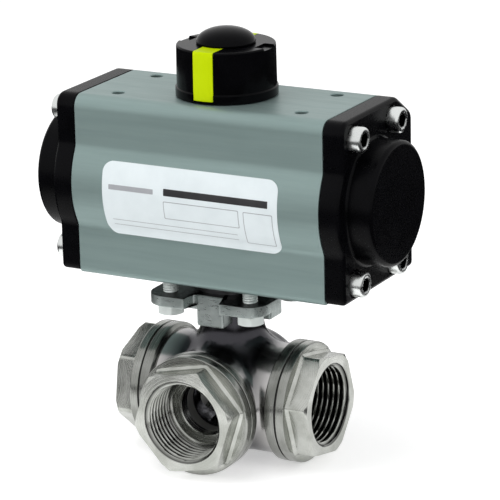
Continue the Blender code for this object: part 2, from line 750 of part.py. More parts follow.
def pinion_outline():
    """The toothed outline: involute flanks on a base circle, round tips and a round root."""
    base = PITCH_RADIUS * math.cos(math.radians(PRESSURE_ANGLE))
    tip = PITCH_RADIUS + ADDENDUM
    root = PITCH_RADIUS - DEDENDUM
    half_tooth = math.pi / 2 / TOOTH_COUNT - TOOTH_GAP / 2 / PITCH_RADIUS
    lean = half_tooth + involute_angle(PITCH_RADIUS, base)
    flank_steps = 2
    start = max(base, root)
    flank = []
    for i in range(flank_steps + 1):
        radius = start + (tip - start) * i / flank_steps
        flank.append((radius, lean - involute_angle(radius, base)))
    if root < base:
        flank.insert(0, (root, lean))
    points = []
    for tooth in range(TOOTH_COUNT):
        middle = 2 * math.pi * tooth / TOOTH_COUNT
        tooth_points = [(r, middle - a) for r, a in flank] + [(r, middle + a) for r, a in reversed(flank)]
        points += [(r * math.cos(a), r * math.sin(a)) for r, a in tooth_points]
    return points


def upper_bearing_radius():
    return PINION_UPPER_JOURNAL / 2 + GAP + BEARING_WALL


def lower_bearing_radius():
    return PINION_LOWER_JOURNAL / 2 + GAP + BEARING_WALL


def stop_height():
    """The middle of the stop cam, at which the stop screws meet it."""
    return BORE_AXIS_Z + CAM_SEAT_RISE + CAM_THICKNESS / 2


def snap_ring_floor():
    return BODY_TOP_Z + BEARING_FLANGE + GAP + THRUST_WASHER_THICKNESS + GAP


def top_shaft_end():
    return BODY_TOP_Z + TOP_SHAFT_SHOULDER + TOP_SHAFT_REACH


def seal_groove(journal, height):
    """The cutter for an O-ring groove in a journal."""
    half = PINION_GROOVE_WIDTH / 2
    return ring(journal / 2 - PINION_GROOVE_DEPTH, journal / 2 + OVERLAP, height - half, height + half)


def pinion_seal_heights():
    lower = (BODY_BOTTOM_Z + CENTRING_SINK_BODY + BORE_AXIS_Z - BORE_RADIUS) / 2
    upper = (BODY_TOP_Z + BORE_AXIS_Z + BORE_RADIUS) / 2
    return lower, upper


def build_pinion():
    bottom = BODY_BOTTOM_Z + GAP
    gear_low = BORE_AXIS_Z - PINION_GEAR_HEIGHT / 2
    gear_high = BORE_AXIS_Z + PINION_GEAR_HEIGHT / 2
    seat = BORE_AXIS_Z + CAM_SEAT_RISE - GAP
    shoulder = BODY_TOP_Z + TOP_SHAFT_SHOULDER
    root = PITCH_RADIUS - DEDENDUM
    low = gear_low + FAINT_STEP
    high = gear_high - FAINT_STEP
    core = [
        (0.0, top_shaft_end()), (TOP_SHAFT_DIAMETER / 2, top_shaft_end()), (TOP_SHAFT_DIAMETER / 2, shoulder),
        (PINION_UPPER_JOURNAL / 2, shoulder), (PINION_UPPER_JOURNAL / 2, seat), (PINION_COLLAR / 2, seat),
        (PINION_COLLAR / 2, high), (root, high), (root, low),
        (PINION_LOWER_JOURNAL / 2, low), (PINION_LOWER_JOURNAL / 2, bottom), (0.0, bottom)]
    pinion = turned(core)
    joined(pinion, prism(pinion_outline(), gear_low, gear_high))
    cam_seat = prism(polygon(CAM_FLATS, 8), seat - FAINT_STEP, seat + GAP + CAM_THICKNESS)
    joined(pinion, cam_seat)

    floor = BODY_BOTTOM_Z + STAR_DEPTH
    star = prism(polygon(STAR_FLATS, 4), bottom - OVERRUN, floor)
    joined(star, prism(polygon(STAR_FLATS, 4, 45.0), bottom - OVERRUN, floor))
    cut(pinion, star)
    lower, upper = pinion_seal_heights()
    cut(pinion, seal_groove(PINION_LOWER_JOURNAL, lower), seal_groove(PINION_UPPER_JOURNAL, upper))
    snap = ring(PINION_UPPER_JOURNAL / 2 - SNAP_RING_DEPTH - GAP, PINION_UPPER_JOURNAL / 2 + OVERLAP,
                snap_ring_floor() - GAP / 2, snap_ring_floor() + SNAP_RING_THICKNESS + GAP / 2)
    cut(pinion, snap)
    low = shoulder + GAP / 2
    high = top_shaft_end() + OVERRUN
    flats = [
        box((TOP_SHAFT_FLATS / 2, -OVERRUN, low), (2 * OVERRUN, OVERRUN, high)),
        box((-2 * OVERRUN, -OVERRUN, low), (-TOP_SHAFT_FLATS / 2, OVERRUN, high))]
    thread = disc(INDICATOR_SCREW_THREAD / 2 + GAP, top_shaft_end() - INDICATOR_SCREW_LENGTH, high, SMALL_STEPS)
    cut(pinion, gathered(flats), thread)
    piece("pinion", pinion, "nickel_steel", (0.0, 0.0, BORE_AXIS_Z))


def build_pinion_seals():
    """The O-rings fill the journals' grooves and stay clear of the bearing sleeves, in which they turn."""
    lower, upper = pinion_seal_heights()
    room = PINION_GROOVE_DEPTH - GAP / 2
    cord = room / math.cos(math.pi / CORD_SIDES)
    places = {"lower": (PINION_LOWER_JOURNAL, lower), "upper": (PINION_UPPER_JOURNAL, upper)}
    for name, (journal, height) in places.items():
        seal = cord_ring(journal / 2 - room / 2, cord, height)
        piece("pinion_seal_" + name, seal, "black_rubber", (0.0, 0.0, height))


def build_pinion_bearings():
    half_bore = math.sqrt(BORE_RADIUS ** 2 - upper_bearing_radius() ** 2)
    inner = PINION_UPPER_JOURNAL / 2 + GAP
    outer = upper_bearing_radius()
    flange = outer + BEARING_FLANGE_REACH
    low = BORE_AXIS_Z + half_bore
    upper = turned([
        (flange, BODY_TOP_Z + BEARING_FLANGE), (flange, BODY_TOP_Z + GAP),
        (outer, BODY_TOP_Z + GAP), (outer, low), (inner, low), (inner, BODY_TOP_Z + BEARING_FLANGE)])
    piece("pinion_bearing_upper", upper, "white_polymer")
    half_bore = math.sqrt(BORE_RADIUS ** 2 - lower_bearing_radius() ** 2)
    low = BODY_BOTTOM_Z + CENTRING_SINK_BODY + GAP
    lower = ring(PINION_LOWER_JOURNAL / 2 + GAP, lower_bearing_radius(), low, BORE_AXIS_Z - half_bore)
    piece("pinion_bearing_lower", lower, "white_polymer")


def build_snap_ring():
    """An open spring ring in the pinion's top groove, over a steel washer on the bearing's flange."""
    low = BODY_TOP_Z + BEARING_FLANGE + GAP
    high = low + THRUST_WASHER_THICKNESS
    washer = ring(PINION_UPPER_JOURNAL / 2 + GAP, THRUST_WASHER_DIAMETER / 2, low, high)
    piece("thrust_washer", washer, "bright_steel")
    floor = snap_ring_floor()
    inner = PINION_UPPER_JOURNAL / 2 - SNAP_RING_DEPTH
    snap = ring(inner, inner + SNAP_RING_WIDTH, floor, floor + SNAP_RING_THICKNESS)
    half = SNAP_RING_OPENING / 2
    opening = box(
        (-half, 0.0, floor - OVERLAP), (half, PINION_UPPER_JOURNAL, floor + SNAP_RING_THICKNESS + OVERLAP))
    piece("snap_ring", cut(snap, opening), "spring_steel")


def build_stop_cam():
    """A hub with a quarter lobe, whose two flat sides meet the stop screws at the ends of the turn."""
    low = BORE_AXIS_Z + CAM_SEAT_RISE
    high = low + CAM_THICKNESS
    reach = CAM_LOBE_RADIUS + OVERRUN
    lobe = disc(CAM_LOBE_RADIUS, low, high, FINE_STEPS)
    corner = prism([(-reach, -reach), (CAM_STOP_OFFSET, -reach), (CAM_STOP_OFFSET, CAM_STOP_OFFSET),
                    (-reach, CAM_STOP_OFFSET)], low - OVERLAP, high + OVERLAP)
    combine(lobe, corner, "INTERSECT")
    joined(lobe, disc(CAM_HUB_DIAMETER / 2, low, high))
    cut(lobe, prism(polygon(CAM_FLATS + 2 * GAP, 8), low - OVERLAP, high + OVERLAP))
    piece("stop_cam", lobe, "nickel_steel", (0.0, 0.0, low))


def rack_outline():
    """The rack seen from above, for the piston on the left: teeth along its front, at rest about the pinion."""
    pitch = math.pi * MODULE
    lean = math.tan(math.radians(PRESSURE_ANGLE))
    tip_y = PITCH_RADIUS - ADDENDUM
    root_y = PITCH_RADIUS + DEDENDUM
    half = pitch / 4 - TOOTH_GAP / 2
    teeth = []
    for i in range(RACK_TEETH[0], RACK_TEETH[1] + 1):
        middle = (i + 0.5) * pitch
        teeth += [
            (middle - half - DEDENDUM * lean, root_y), (middle - half + ADDENDUM * lean, tip_y),
            (middle + half - ADDENDUM * lean, tip_y), (middle + half + DEDENDUM * lean, root_y)]
    back = -PISTON_FACE_X - PISTON_THICKNESS / 2
    foot = -PISTON_FACE_X + RACK_FOOT
    start = [(back, RACK_BACK), (back, tip_y), (foot, tip_y), (foot + root_y - tip_y, root_y)]
    return start + teeth + [(RACK_TIP_REACH, root_y), (RACK_TIP_REACH, RACK_BACK)]


def build_piston(side):
    """One piston and its rack. The left one has its rack behind the pinion, the right one in front of it."""
    face = PISTON_FACE_X
    back = PISTON_FACE_X + PISTON_THICKNESS
    radius = BORE_RADIUS - GAP
    seal_low = back - PISTON_SEAL_WIDTH - SEAL_FROM_BACK
    guide_low = face + GUIDE_FROM_FACE
    floor = radius - PISTON_SEAL_DEPTH
    guide_floor = radius - GUIDE_RING_DEPTH
    head = turned([
        (0.0, back - PISTON_DISH), (radius - PISTON_WALL, back - PISTON_DISH), (radius - PISTON_WALL, back),
        (radius, back), (radius, seal_low + PISTON_SEAL_WIDTH), (floor, seal_low + PISTON_SEAL_WIDTH),
        (floor, seal_low), (radius, seal_low), (radius, guide_low + GUIDE_RING_WIDTH),
        (guide_floor, guide_low + GUIDE_RING_WIDTH), (guide_floor, guide_low), (radius, guide_low),
        (radius, face), (0.0, face)], PISTON_STEPS)
    place(head, (0.0, 0.0, BORE_AXIS_Z), "left")
    rack = prism(list(reversed(rack_outline())), BORE_AXIS_Z - RACK_HEIGHT / 2, BORE_AXIS_Z + RACK_HEIGHT / 2)
    piston = joined(head, rack)
    low = -face + RACK_GUIDE_START
    slot = box((low, RACK_BACK - RACK_GUIDE_SINK, BORE_AXIS_Z - RACK_HEIGHT / 4),
               (low + RACK_GUIDE_LENGTH + 2 * GAP, RACK_BACK + OVERRUN, BORE_AXIS_Z + RACK_HEIGHT / 4))
    cut(piston, slot)
    turn_to_side(piston, side)
    piece("piston_" + side_name(side), piston, "die_cast_aluminium", (0.0, 0.0, BORE_AXIS_Z))

    ring_outer = radius + GAP / 2
    seal = ring(floor + GAP / 2, ring_outer, seal_low + GAP / 2,
                seal_low + PISTON_SEAL_WIDTH - GAP / 2, PISTON_STEPS)
    place(seal, (0.0, 0.0, BORE_AXIS_Z), "left")
    turn_to_side(seal, side)
    piece("piston_seal_" + side_name(side), seal, "black_rubber", (0.0, 0.0, BORE_AXIS_Z))
    guide = ring(guide_floor + GAP / 2, ring_outer, guide_low + GAP / 2,
                 guide_low + GUIDE_RING_WIDTH - GAP / 2, PISTON_STEPS)
    place(guide, (0.0, 0.0, BORE_AXIS_Z), "left")
    turn_to_side(guide, side)
    piece("piston_guide_ring_" + side_name(side), guide, "white_polymer", (0.0, 0.0, BORE_AXIS_Z))


def turn_to_side(item, side):
    """Turns a shape made for the left piston half a turn about the stem for the right one."""
    settled(item)
    if side > 0:
        item.data.transform(Matrix.Rotation(math.pi, 4, "Z"))


def build_rack_guide(side):
    """A wear pad in the rack's back, its outer side round to fit the bore."""
    half = RACK_HEIGHT / 4 - GAP
    low = -PISTON_FACE_X + RACK_GUIDE_START + GAP
    outer = place(disc(BORE_RADIUS - GAP, low - OVERRUN, low + RACK_GUIDE_LENGTH + OVERRUN, PISTON_STEPS),
                  (0.0, 0.0, BORE_AXIS_Z), "right")
    pad = box((low, RACK_BACK - RACK_GUIDE_SINK + GAP, BORE_AXIS_Z - half),
              (low + RACK_GUIDE_LENGTH, BORE_RADIUS, BORE_AXIS_Z + half))
    combine(pad, outer, "INTERSECT")
    turn_to_side(pad, side)
    piece("rack_guide_" + side_name(side), pad, "white_polymer", (0.0, 0.0, BORE_AXIS_Z))


# Travel stops

def build_stop_screw(side):
    """A set screw through the rear wall, its round nose just off the cam, with a lock nut outside."""
    nose = CAM_STOP_OFFSET + GAP
    radius = STOP_SCREW_DIAMETER / 2
    screw = turned([
        (0.0, STOP_SCREW_END), (radius - FAINT_STEP, STOP_SCREW_END), (radius, STOP_SCREW_END - FAINT_STEP),
        (radius, nose + STOP_SCREW_NOSE), (radius - STOP_SCREW_NOSE, nose), (0.0, nose)], SMALL_STEPS)
    socket_floor = STOP_SCREW_END - STOP_SCREW_HEX_DEPTH
    cut(screw, prism(polygon(STOP_SCREW_HEX, 6), socket_floor, STOP_SCREW_END + OVERLAP))
    at = (side * STOP_SCREW_OFFSET, 0.0, stop_height())
    piece("stop_screw_" + side_name(side), place(screw, at, "rear"), "bright_steel")
    low = REAR_REACH + GAP
    corner = STOP_NUT_FLATS / math.sqrt(3)
    chamfer = (corner - STOP_NUT_FLATS / 2) * 0.8
    high = low + STOP_NUT_HEIGHT
    nut = turned([
        (STOP_NUT_FLATS / 2, high), (corner + OVERLAP, high - chamfer), (corner + OVERLAP, low + chamfer),
        (STOP_NUT_FLATS / 2, low), (radius + GAP, low), (radius + GAP, high)], SMALL_STEPS)
    combine(nut, prism(polygon(STOP_NUT_FLATS, 6), low - OVERLAP, high + OVERLAP), "INTERSECT")
    piece("stop_nut_" + side_name(side), place(nut, at, "rear"), "bright_steel")


# Position indicator

def indicator_top():
    return BODY_TOP_Z + INDICATOR_HEIGHT


def shaft_hole(extra, low, high):
    """The hole that fits the pinion's two flats."""
    hole = disc(TOP_SHAFT_DIAMETER / 2 + extra, low, high, SMALL_STEPS)
    half = TOP_SHAFT_FLATS / 2 + extra
    across = TOP_SHAFT_DIAMETER
    return combine(hole, box((-half, -across, low - OVERLAP), (half, across, high + OVERLAP)), "INTERSECT")


def strip_slot(low, high):
    """The space of the strip's three runs: down the front, over the top and down the rear."""
    outer = INDICATOR_FLANGE_DIAMETER / 2 + OVERLAP
    inner = INDICATOR_DIAMETER / 2 - STRIP_THICKNESS
    half = STRIP_WIDTH / 2
    bridge = box((-half, -outer, indicator_top() - STRIP_THICKNESS), (half, outer, high))
    front = box((-half, -outer, low), (half, -inner, indicator_top() - STRIP_THICKNESS / 2))
    rear = box((-half, inner, low), (half, outer, indicator_top() - STRIP_THICKNESS / 2))
    return joined(bridge, front, rear)


def grown(item, amount):
    """The same shape with every face moved out, for a slot that clears its strip."""
    settled(item)
    shape_data = bmesh.new()
    shape_data.from_mesh(item.data)
    bmesh.ops.dissolve_limit(shape_data, angle_limit=0.01, verts=shape_data.verts, edges=shape_data.edges)
    shape_data.normal_update()
    moves = []
    for vert in shape_data.verts:
        normals = []
        for face in vert.link_faces:
            if all(face.normal.dot(other) < 0.9 for other in normals):
                normals.append(face.normal.copy())
        moves.append(sum(normals, Vector()) * amount)
    for vert, move in zip(shape_data.verts, moves):
        vert.co += move
    shape_data.to_mesh(item.data)
    shape_data.free()
    return item


def strip_foot():
    return BODY_TOP_Z + STRIP_FOOT_RISE


def drum_side():
    """The drum's tapered side and top edge, from its top down."""
    return [
        (INDICATOR_TOP_DIAMETER / 2 - INDICATOR_EDGE, indicator_top()),
        (INDICATOR_TOP_DIAMETER / 2, indicator_top() - INDICATOR_EDGE),
        (INDICATOR_DIAMETER / 2, BODY_TOP_Z + INDICATOR_FLANGE_HEIGHT)]


def build_indicator_cap():
    """The drum: a hollow cap on the pinion's flats, with a well for its screw and a slot for the strip."""
    low = BODY_TOP_Z + GAP
    flange = BODY_TOP_Z + INDICATOR_FLANGE_HEIGHT
    top = indicator_top()
    flange_radius = INDICATOR_FLANGE_DIAMETER / 2
    hub_floor = BODY_TOP_Z + TOP_SHAFT_SHOULDER + GAP
    web = top_shaft_end() + GAP
    well = INDICATOR_SCREW_HEAD / 2 + INDICATOR_WELL_CLEARANCE
    inner = INDICATOR_TOP_DIAMETER / 2 - INDICATOR_WALL
    drum = turned(drum_side() + [
        (flange_radius - INDICATOR_EDGE / 2, flange), (flange_radius, flange - INDICATOR_EDGE / 2),
        (flange_radius, low),
        (inner, low), (inner, top - INDICATOR_ROOF), (INDICATOR_HUB / 2, top - INDICATOR_ROOF),
        (INDICATOR_HUB / 2, hub_floor), (FAINT_STEP, hub_floor), (FAINT_STEP, web + INDICATOR_SCREW_SEAT),
        (well, web + INDICATOR_SCREW_SEAT), (well, top)], DRUM_STEPS)
    cut(drum, shaft_hole(GAP, hub_floor - OVERRUN, web),
        disc(INDICATOR_SCREW_THREAD / 2 + GAP, web - OVERLAP, web + OVERRUN, SMALL_STEPS))
    cut(drum, grown(strip_slot(strip_foot(), top + OVERRUN), GAP))
    for side in (-1, 1):
        near, far = sorted((side * BLANK_SLOT_REACH, side * INDICATOR_DIAMETER))
        blank = box((near, -STRIP_WIDTH / 2, top - BLANK_SLOT_DEPTH), (far, STRIP_WIDTH / 2, top + OVERRUN))
        cut(drum, blank)
    piece("indicator_cap", drum, "black_plastic", (0.0, 0.0, BODY_TOP_Z))


def build_indicator_strip():
    """The bright strip that shows where the ball's front leg points, bent over the drum under the knob."""
    strip = strip_slot(strip_foot(), indicator_top() + OVERRUN)
    solid = [(0.0, indicator_top())] + drum_side() + [
        (INDICATOR_DIAMETER / 2, BODY_TOP_Z), (0.0, BODY_TOP_Z)]
    combine(strip, turned(solid, DRUM_STEPS), "INTERSECT")
    top = indicator_top()
    cut(strip, disc(KNOB_PLUG_DIAMETER / 2 + GAP, top - OVERRUN, top + OVERRUN, SMALL_STEPS))
    piece("indicator_strip", strip, "yellow_plastic", (0.0, 0.0, BODY_TOP_Z))


def indicator_screw_seat():
    return top_shaft_end() + GAP + INDICATOR_SCREW_SEAT + GAP


def build_indicator_screw():
    seat = indicator_screw_seat()
    screw = hex_socket_screw(
        INDICATOR_SCREW_HEAD, INDICATOR_SCREW_HEAD_HEIGHT, INDICATOR_SCREW_THREAD,
        INDICATOR_SCREW_LENGTH - GAP, INDICATOR_SCREW_HEX, INDICATOR_SCREW_HEX_DEPTH)
    piece("indicator_screw", place(screw, (0.0, 0.0, seat)), "bright_steel", (0.0, 0.0, seat))


def build_knob():
    """The domed plug over the indicator's screw, standing on the drum's top."""
    top = indicator_top()
    low = top + GAP
    foot = indicator_screw_seat() + INDICATOR_SCREW_HEAD_HEIGHT + GAP
    widest = KNOB_DIAMETER / 2
    rise = KNOB_HEIGHT - KNOB_EQUATOR
    quarter = math.pi / 2
    dome = [(widest * math.sin(quarter * i / 6), top + KNOB_EQUATOR + rise * math.cos(quarter * i / 6))
            for i in range(1, 7)]
    plug = KNOB_PLUG_DIAMETER / 2
    knob = turned([(0.0, top + KNOB_HEIGHT)] + dome + [
        (KNOB_FOOT_DIAMETER / 2, low), (plug, low), (plug, foot), (0.0, foot)], DRUM_STEPS)
    piece("indicator_knob", knob, "black_plastic", (0.0, 0.0, top))


# Valve body and port caps

def branch_end(radius):
    """One end of a branch, from its face back to the barrel: the body's ring and the step down behind it."""
    ring_end = COLLAR_BACK - SEAM_WIDTH
    ring_start = ring_end - BODY_RING_LENGTH
    outer = COLLAR_DIAMETER / 2
    return [(0.0, ring_end), (outer, ring_end), (outer, ring_start), (radius, ring_start - RING_STEP_SLOPE)]


def build_valve_body():
    z = PORT_AXIS_Z
    end = branch_end(BARREL_DIAMETER / 2)
    barrel = turned(end + [(r, -x) for r, x in reversed(end)], FINE_STEPS)
    body = place(barrel, (0.0, 0.0, z), "right")
    front_radius = BRANCH_DIAMETER / 2
    front = turned(branch_end(front_radius) + [(front_radius, 0.0), (0.0, 0.0)], FINE_STEPS)
    joined(body, place(front, (0.0, 0.0, z), "front"))
    joined(body, place(turned(dome_profile(front_radius), FINE_STEPS), (0.0, 0.0, z), "rear"))
    joined(body, turned(bonnet_profile()), mounting_pad())

    through = disc(BARREL_BORE / 2, -PORT_FACE, PORT_FACE, FINE_STEPS)
    spigot_bore = disc(BARREL_BORE / 2, SEAT_BACK, PORT_FACE, FINE_STEPS)
    cavity = disc(BRANCH_CAVITY / 2, 0.0, PORT_FACE, FINE_STEPS)
    rear_pocket = disc(SEAT_OUTER_DIAMETER / 2 + GAP, 0.0, SEAT_BACK + GAP)
    cut(body, place(through, (0.0, 0.0, z), "right"), place(cavity, (0.0, 0.0, z), "front"),
        place(spigot_bore, (0.0, 0.0, z), "front"), place(rear_pocket, (0.0, 0.0, z), "rear"),
        *stem_cutters(), solver="MANIFOLD")
    for x, y in mount_bolt_places():
        hole = disc(MOUNT_BOLT_THREAD / 2 + GAP, -PAD_THICKNESS - OVERRUN, OVERRUN, SMALL_STEPS)
        cut(body, place(hole, (x, y, PAD_TOP_Z)), solver="MANIFOLD")
    piece("valve_body", body, "cast_stainless")


def dome_profile(radius):
    """The closed rear of the casting: a short barrel with a rounded end."""
    end = REAR_REACH_OF_CASTING
    corner = REAR_ROUNDING
    rounding = [
        (radius - corner + corner * math.sin(a), end - corner + corner * math.cos(a))
        for a in [math.pi / 2 * i / 3 for i in range(4)]
    ]
    return [(0.0, end)] + rounding + [(radius, 0.0), (0.0, 0.0)]


def bonnet_profile():
    """The neck under the mounting pad, flaring into the branches."""
    neck = BONNET_DIAMETER / 2
    top = PAD_TOP_Z - PAD_THICKNESS / 2
    flare = BONNET_FLARE
    centre = PORT_AXIS_Z + BARREL_DIAMETER / 2 + flare * 0.75
    curve = [
        (neck + flare - flare * math.cos(a), centre - flare * math.sin(a))
        for a in [math.pi / 2 * i / 4 for i in range(5)]
    ]
    return [(0.0, top), (neck, top)] + curve + [(neck + flare, PORT_AXIS_Z), (0.0, PORT_AXIS_Z)]


def pad_outline():
    """The square pad, rounded about its four bolts, with a notch in the middle of each side."""
    half = PAD_SIZE / 2
    bolt = mount_bolt_places()[-1][0]
    inner = half - PAD_NOTCH_DEPTH
    notch = PAD_NOTCH_WIDTH / 2
    quarter = [(half, -notch), (inner, -notch), (inner, notch), (half, notch)]
    quarter += arc((bolt, bolt), half - bolt, 0, 90, PAD_CORNER_STEPS)
    points = []
    for i in range(4):
        c = round(math.cos(math.pi / 2 * i))
        s = round(math.sin(math.pi / 2 * i))
        points += [(x * c - y * s, x * s + y * c) for x, y in quarter]
    return points


def mounting_pad():
    """The pad with its casting blocks, one in the middle of each side."""
    pad = prism(pad_outline(), PAD_TOP_Z - PAD_THICKNESS, PAD_TOP_Z)
    half = PAD_BLOCK_WIDTH / 2
    low = PAD_TOP_Z - PAD_BLOCK_HEIGHT
    high = PAD_TOP_Z - PAD_BLOCK_SINK
    joined(pad, box((-half, -PAD_BLOCK_REACH, low), (half, PAD_BLOCK_REACH, high)))
    half = SIDE_BLOCK_WIDTH / 2
    low = PAD_TOP_Z - SIDE_BLOCK_HEIGHT
    return joined(pad, box((-SIDE_BLOCK_REACH, -half, low), (SIDE_BLOCK_REACH, half, high)))


def stem_cutters():
    """The stem's bore through the bonnet: foot pocket, plain bore, packing chamber and the pad's recess."""
    foot = disc(STEM_FOOT_DIAMETER / 2 + GAP, PORT_AXIS_Z, FOOT_POCKET_Z)
    bore = disc(STEM_DIAMETER / 2 + GAP, PORT_AXIS_Z, PAD_TOP_Z + OVERRUN)
    chamber = disc(PACKING_DIAMETER / 2 + GAP, PACKING_FLOOR_Z, PAD_TOP_Z + OVERRUN)
    recess = disc(CENTRING_DIAMETER / 2 + GAP, PAD_TOP_Z - CENTRING_SINK_PAD - GAP, PAD_TOP_Z + OVERRUN)
    return foot, bore, chamber, recess


def build_port_cap(side):
    """One screwed end: spigot, collar, hexagon with a chamfered end, and the pipe thread's bore."""
    face = PORT_FACE
    collar_end = COLLAR_BACK + COLLAR_LENGTH
    spigot_end = SEAT_BACK + GAP
    radius = COLLAR_DIAMETER / 2
    cap = turned([
        (0.0, collar_end), (radius - COLLAR_CHAMFER, collar_end), (radius, collar_end - COLLAR_CHAMFER),
        (radius, COLLAR_BACK), (PORT_SPIGOT_DIAMETER / 2, COLLAR_BACK), (PORT_SPIGOT_DIAMETER / 2, spigot_end),
        (0.0, spigot_end)], FINE_STEPS)
    corner = PORT_HEX_FLATS / math.sqrt(3)
    cone_drop = (corner - PORT_HEX_CHAMFER / 2) * 0.6
    cone = turned([
        (0.0, face), (PORT_HEX_CHAMFER / 2, face), (corner + OVERLAP, face - cone_drop - CAP_CONE_EASE),
        (corner + OVERLAP, collar_end - OVERLAP / 2), (0.0, collar_end - OVERLAP / 2)], FINE_STEPS)
    corner_turn = hex_turn(side)
    hexagon = prism(polygon(PORT_HEX_FLATS, 6, corner_turn), collar_end - OVERLAP, face + OVERLAP)
    joined(cap, combine(cone, hexagon, "INTERSECT"))
    thread_floor = face - PORT_THREAD_DEPTH
    mouth = turned([
        (0.0, face + OVERLAP), (PORT_THREAD_MOUTH / 2 + OVERLAP, face + OVERLAP),
        (PORT_THREAD_BORE / 2, face - (PORT_THREAD_MOUTH - PORT_THREAD_BORE) / 2),
        (PORT_THREAD_BORE / 2, thread_floor), (0.0, thread_floor)], FINE_STEPS)
    cut(cap, mouth, disc(PORT_FLOW_BORE / 2, 0.0, thread_floor + OVERLAP))
    piece("port_cap_" + side, place(cap, (0.0, 0.0, PORT_AXIS_Z), side), "machined_stainless")


def hex_turn(side):
    """Turns the hexagon so that its lowest front corner stands at the cap's own angle when screwed home."""
    angle = PORT_HEX_TURNS[side]
    return {"right": -angle, "left": angle, "front": angle + 30.0}[side]


def build_port_seal(side):
    """The flat ring clamped between the body's end and the cap's collar."""
    inner = BARREL_BORE / 2 - PORT_SEAL_GAP
    low = COLLAR_BACK - SEAM_WIDTH + PORT_SEAL_GAP
    seal = ring(inner, COLLAR_DIAMETER / 2 - PORT_SEAL_INSET, low, COLLAR_BACK - PORT_SEAL_GAP)
    piece("port_seal_" + side, place(seal, (0.0, 0.0, PORT_AXIS_Z), side), "black_rubber")


def build_ball_seat(side):
    """A ring hollowed to the ball. Its shoulder is bevelled, so that four of them clear round the ball."""
    reach = BALL_DIAMETER / 2 + GAP
    inner = SEAT_INNER_DIAMETER / 2
    contact = SEAT_CONTACT_DIAMETER / 2
    radii = [contact + (inner - contact) * i / 2 for i in range(3)]
    hollow = [(radius, math.sqrt(reach ** 2 - radius ** 2)) for radius in radii]
    outer = SEAT_OUTER_DIAMETER / 2
    seat = turned([(outer, SEAT_BACK), (outer, SEAT_SHOULDER)] + hollow + [(inner, SEAT_BACK)])
    piece("ball_seat_" + side, place(seat, (0.0, 0.0, PORT_AXIS_Z), side), "white_polymer")


def build_ball():
    """The ball with its L-shaped bore, open at rest to the front and the left, and its driving slot on top."""
    ball = globe(BALL_DIAMETER / 2)
    past_centre = -BALL_PORT / 2
    front_leg = place(disc(BALL_PORT / 2, past_centre, BALL_DIAMETER), toward="front")
    left_leg = place(disc(BALL_PORT / 2 - LEG_STEP, past_centre, BALL_DIAMETER), toward="left")
    cut(ball, front_leg, left_leg)
    half = STEM_TONGUE_WIDTH / 2 + GAP
    floor = BALL_DIAMETER / 2 - STEM_TONGUE_DEPTH
    cut(ball, box((-half, -BALL_DIAMETER, floor), (half, BALL_DIAMETER, BALL_DIAMETER)))
    ball.location = (0.0, 0.0, PORT_AXIS_Z)
    piece("ball", ball, "bright_steel", (0.0, 0.0, PORT_AXIS_Z))


# Stem and its seals

def stem_square_top():
    return BODY_BOTTOM_Z + STEM_SQUARE_LENGTH


def build_stem():
    radius = STEM_DIAMETER / 2
    foot_low = STEM_FOOT_Z
    top = stem_square_top()
    stem = turned([
        (0.0, top), (radius - STEM_CHAMFER, top), (radius, top - STEM_CHAMFER), (radius, STEM_SHOULDER_Z),
        (STEM_FOOT_DIAMETER / 2, STEM_SHOULDER_Z), (STEM_FOOT_DIAMETER / 2, foot_low), (0.0, foot_low)])
    tongue_low = PORT_AXIS_Z + BALL_DIAMETER / 2 - STEM_TONGUE_DEPTH + GAP
    half = STEM_TONGUE_WIDTH / 2
    reach = STEM_TONGUE_LENGTH / 2
    joined(stem, box((-half, -reach, tongue_low), (half, reach, foot_low + OVERLAP)))
    square = disc(STEM_DIAMETER, BODY_BOTTOM_Z - OVERLAP, top + OVERRUN)
    cut(square, prism(polygon(STEM_SQUARE, 4), BODY_BOTTOM_Z - OVERRUN, top + 2 * OVERRUN))
    cut(stem, square)
    piece("stem", stem, "machined_stainless", (0.0, 0.0, PORT_AXIS_Z))


def build_stem_seals():
    """The thrust seal over the stem's foot, the chevron packing set and the gland ring that presses it."""
    inner = STEM_DIAMETER / 2 + GAP
    outer = PACKING_DIAMETER / 2
    low = STEM_SHOULDER_Z + GAP
    thrust = ring(inner, STEM_FOOT_DIAMETER / 2, low, low + STEM_SEAL_THICKNESS)
    piece("stem_thrust_seal", thrust, "white_polymer")
    low = PACKING_FLOOR_Z + GAP
    lip = PACKING_HEIGHT * 0.2
    outside = []
    for number in range(PACKING_COUNT):
        start = low + number * PACKING_HEIGHT
        end = start + PACKING_HEIGHT
        outside += [(outer, start), (outer, end - lip), (outer - lip, end - lip / 2)]
    top = low + PACKING_COUNT * PACKING_HEIGHT
    packing = turned(list(reversed(outside)) + [(inner, low), (inner, top - lip)])
    piece("stem_packing", packing, "white_polymer")
    gland_low = gland_floor()
    gland = ring(inner, outer, gland_low, gland_low + GLAND_HEIGHT)
    piece("gland_ring", gland, "machined_stainless")


def gland_floor():
    return PACKING_FLOOR_Z + GAP + PACKING_COUNT * PACKING_HEIGHT + GAP


def disc_spring_floor():
    return gland_floor() + GLAND_HEIGHT + GAP


def stem_nut_floor():
    return disc_spring_floor() + DISC_SPRING_THICKNESS + DISC_SPRING_CONE + GAP


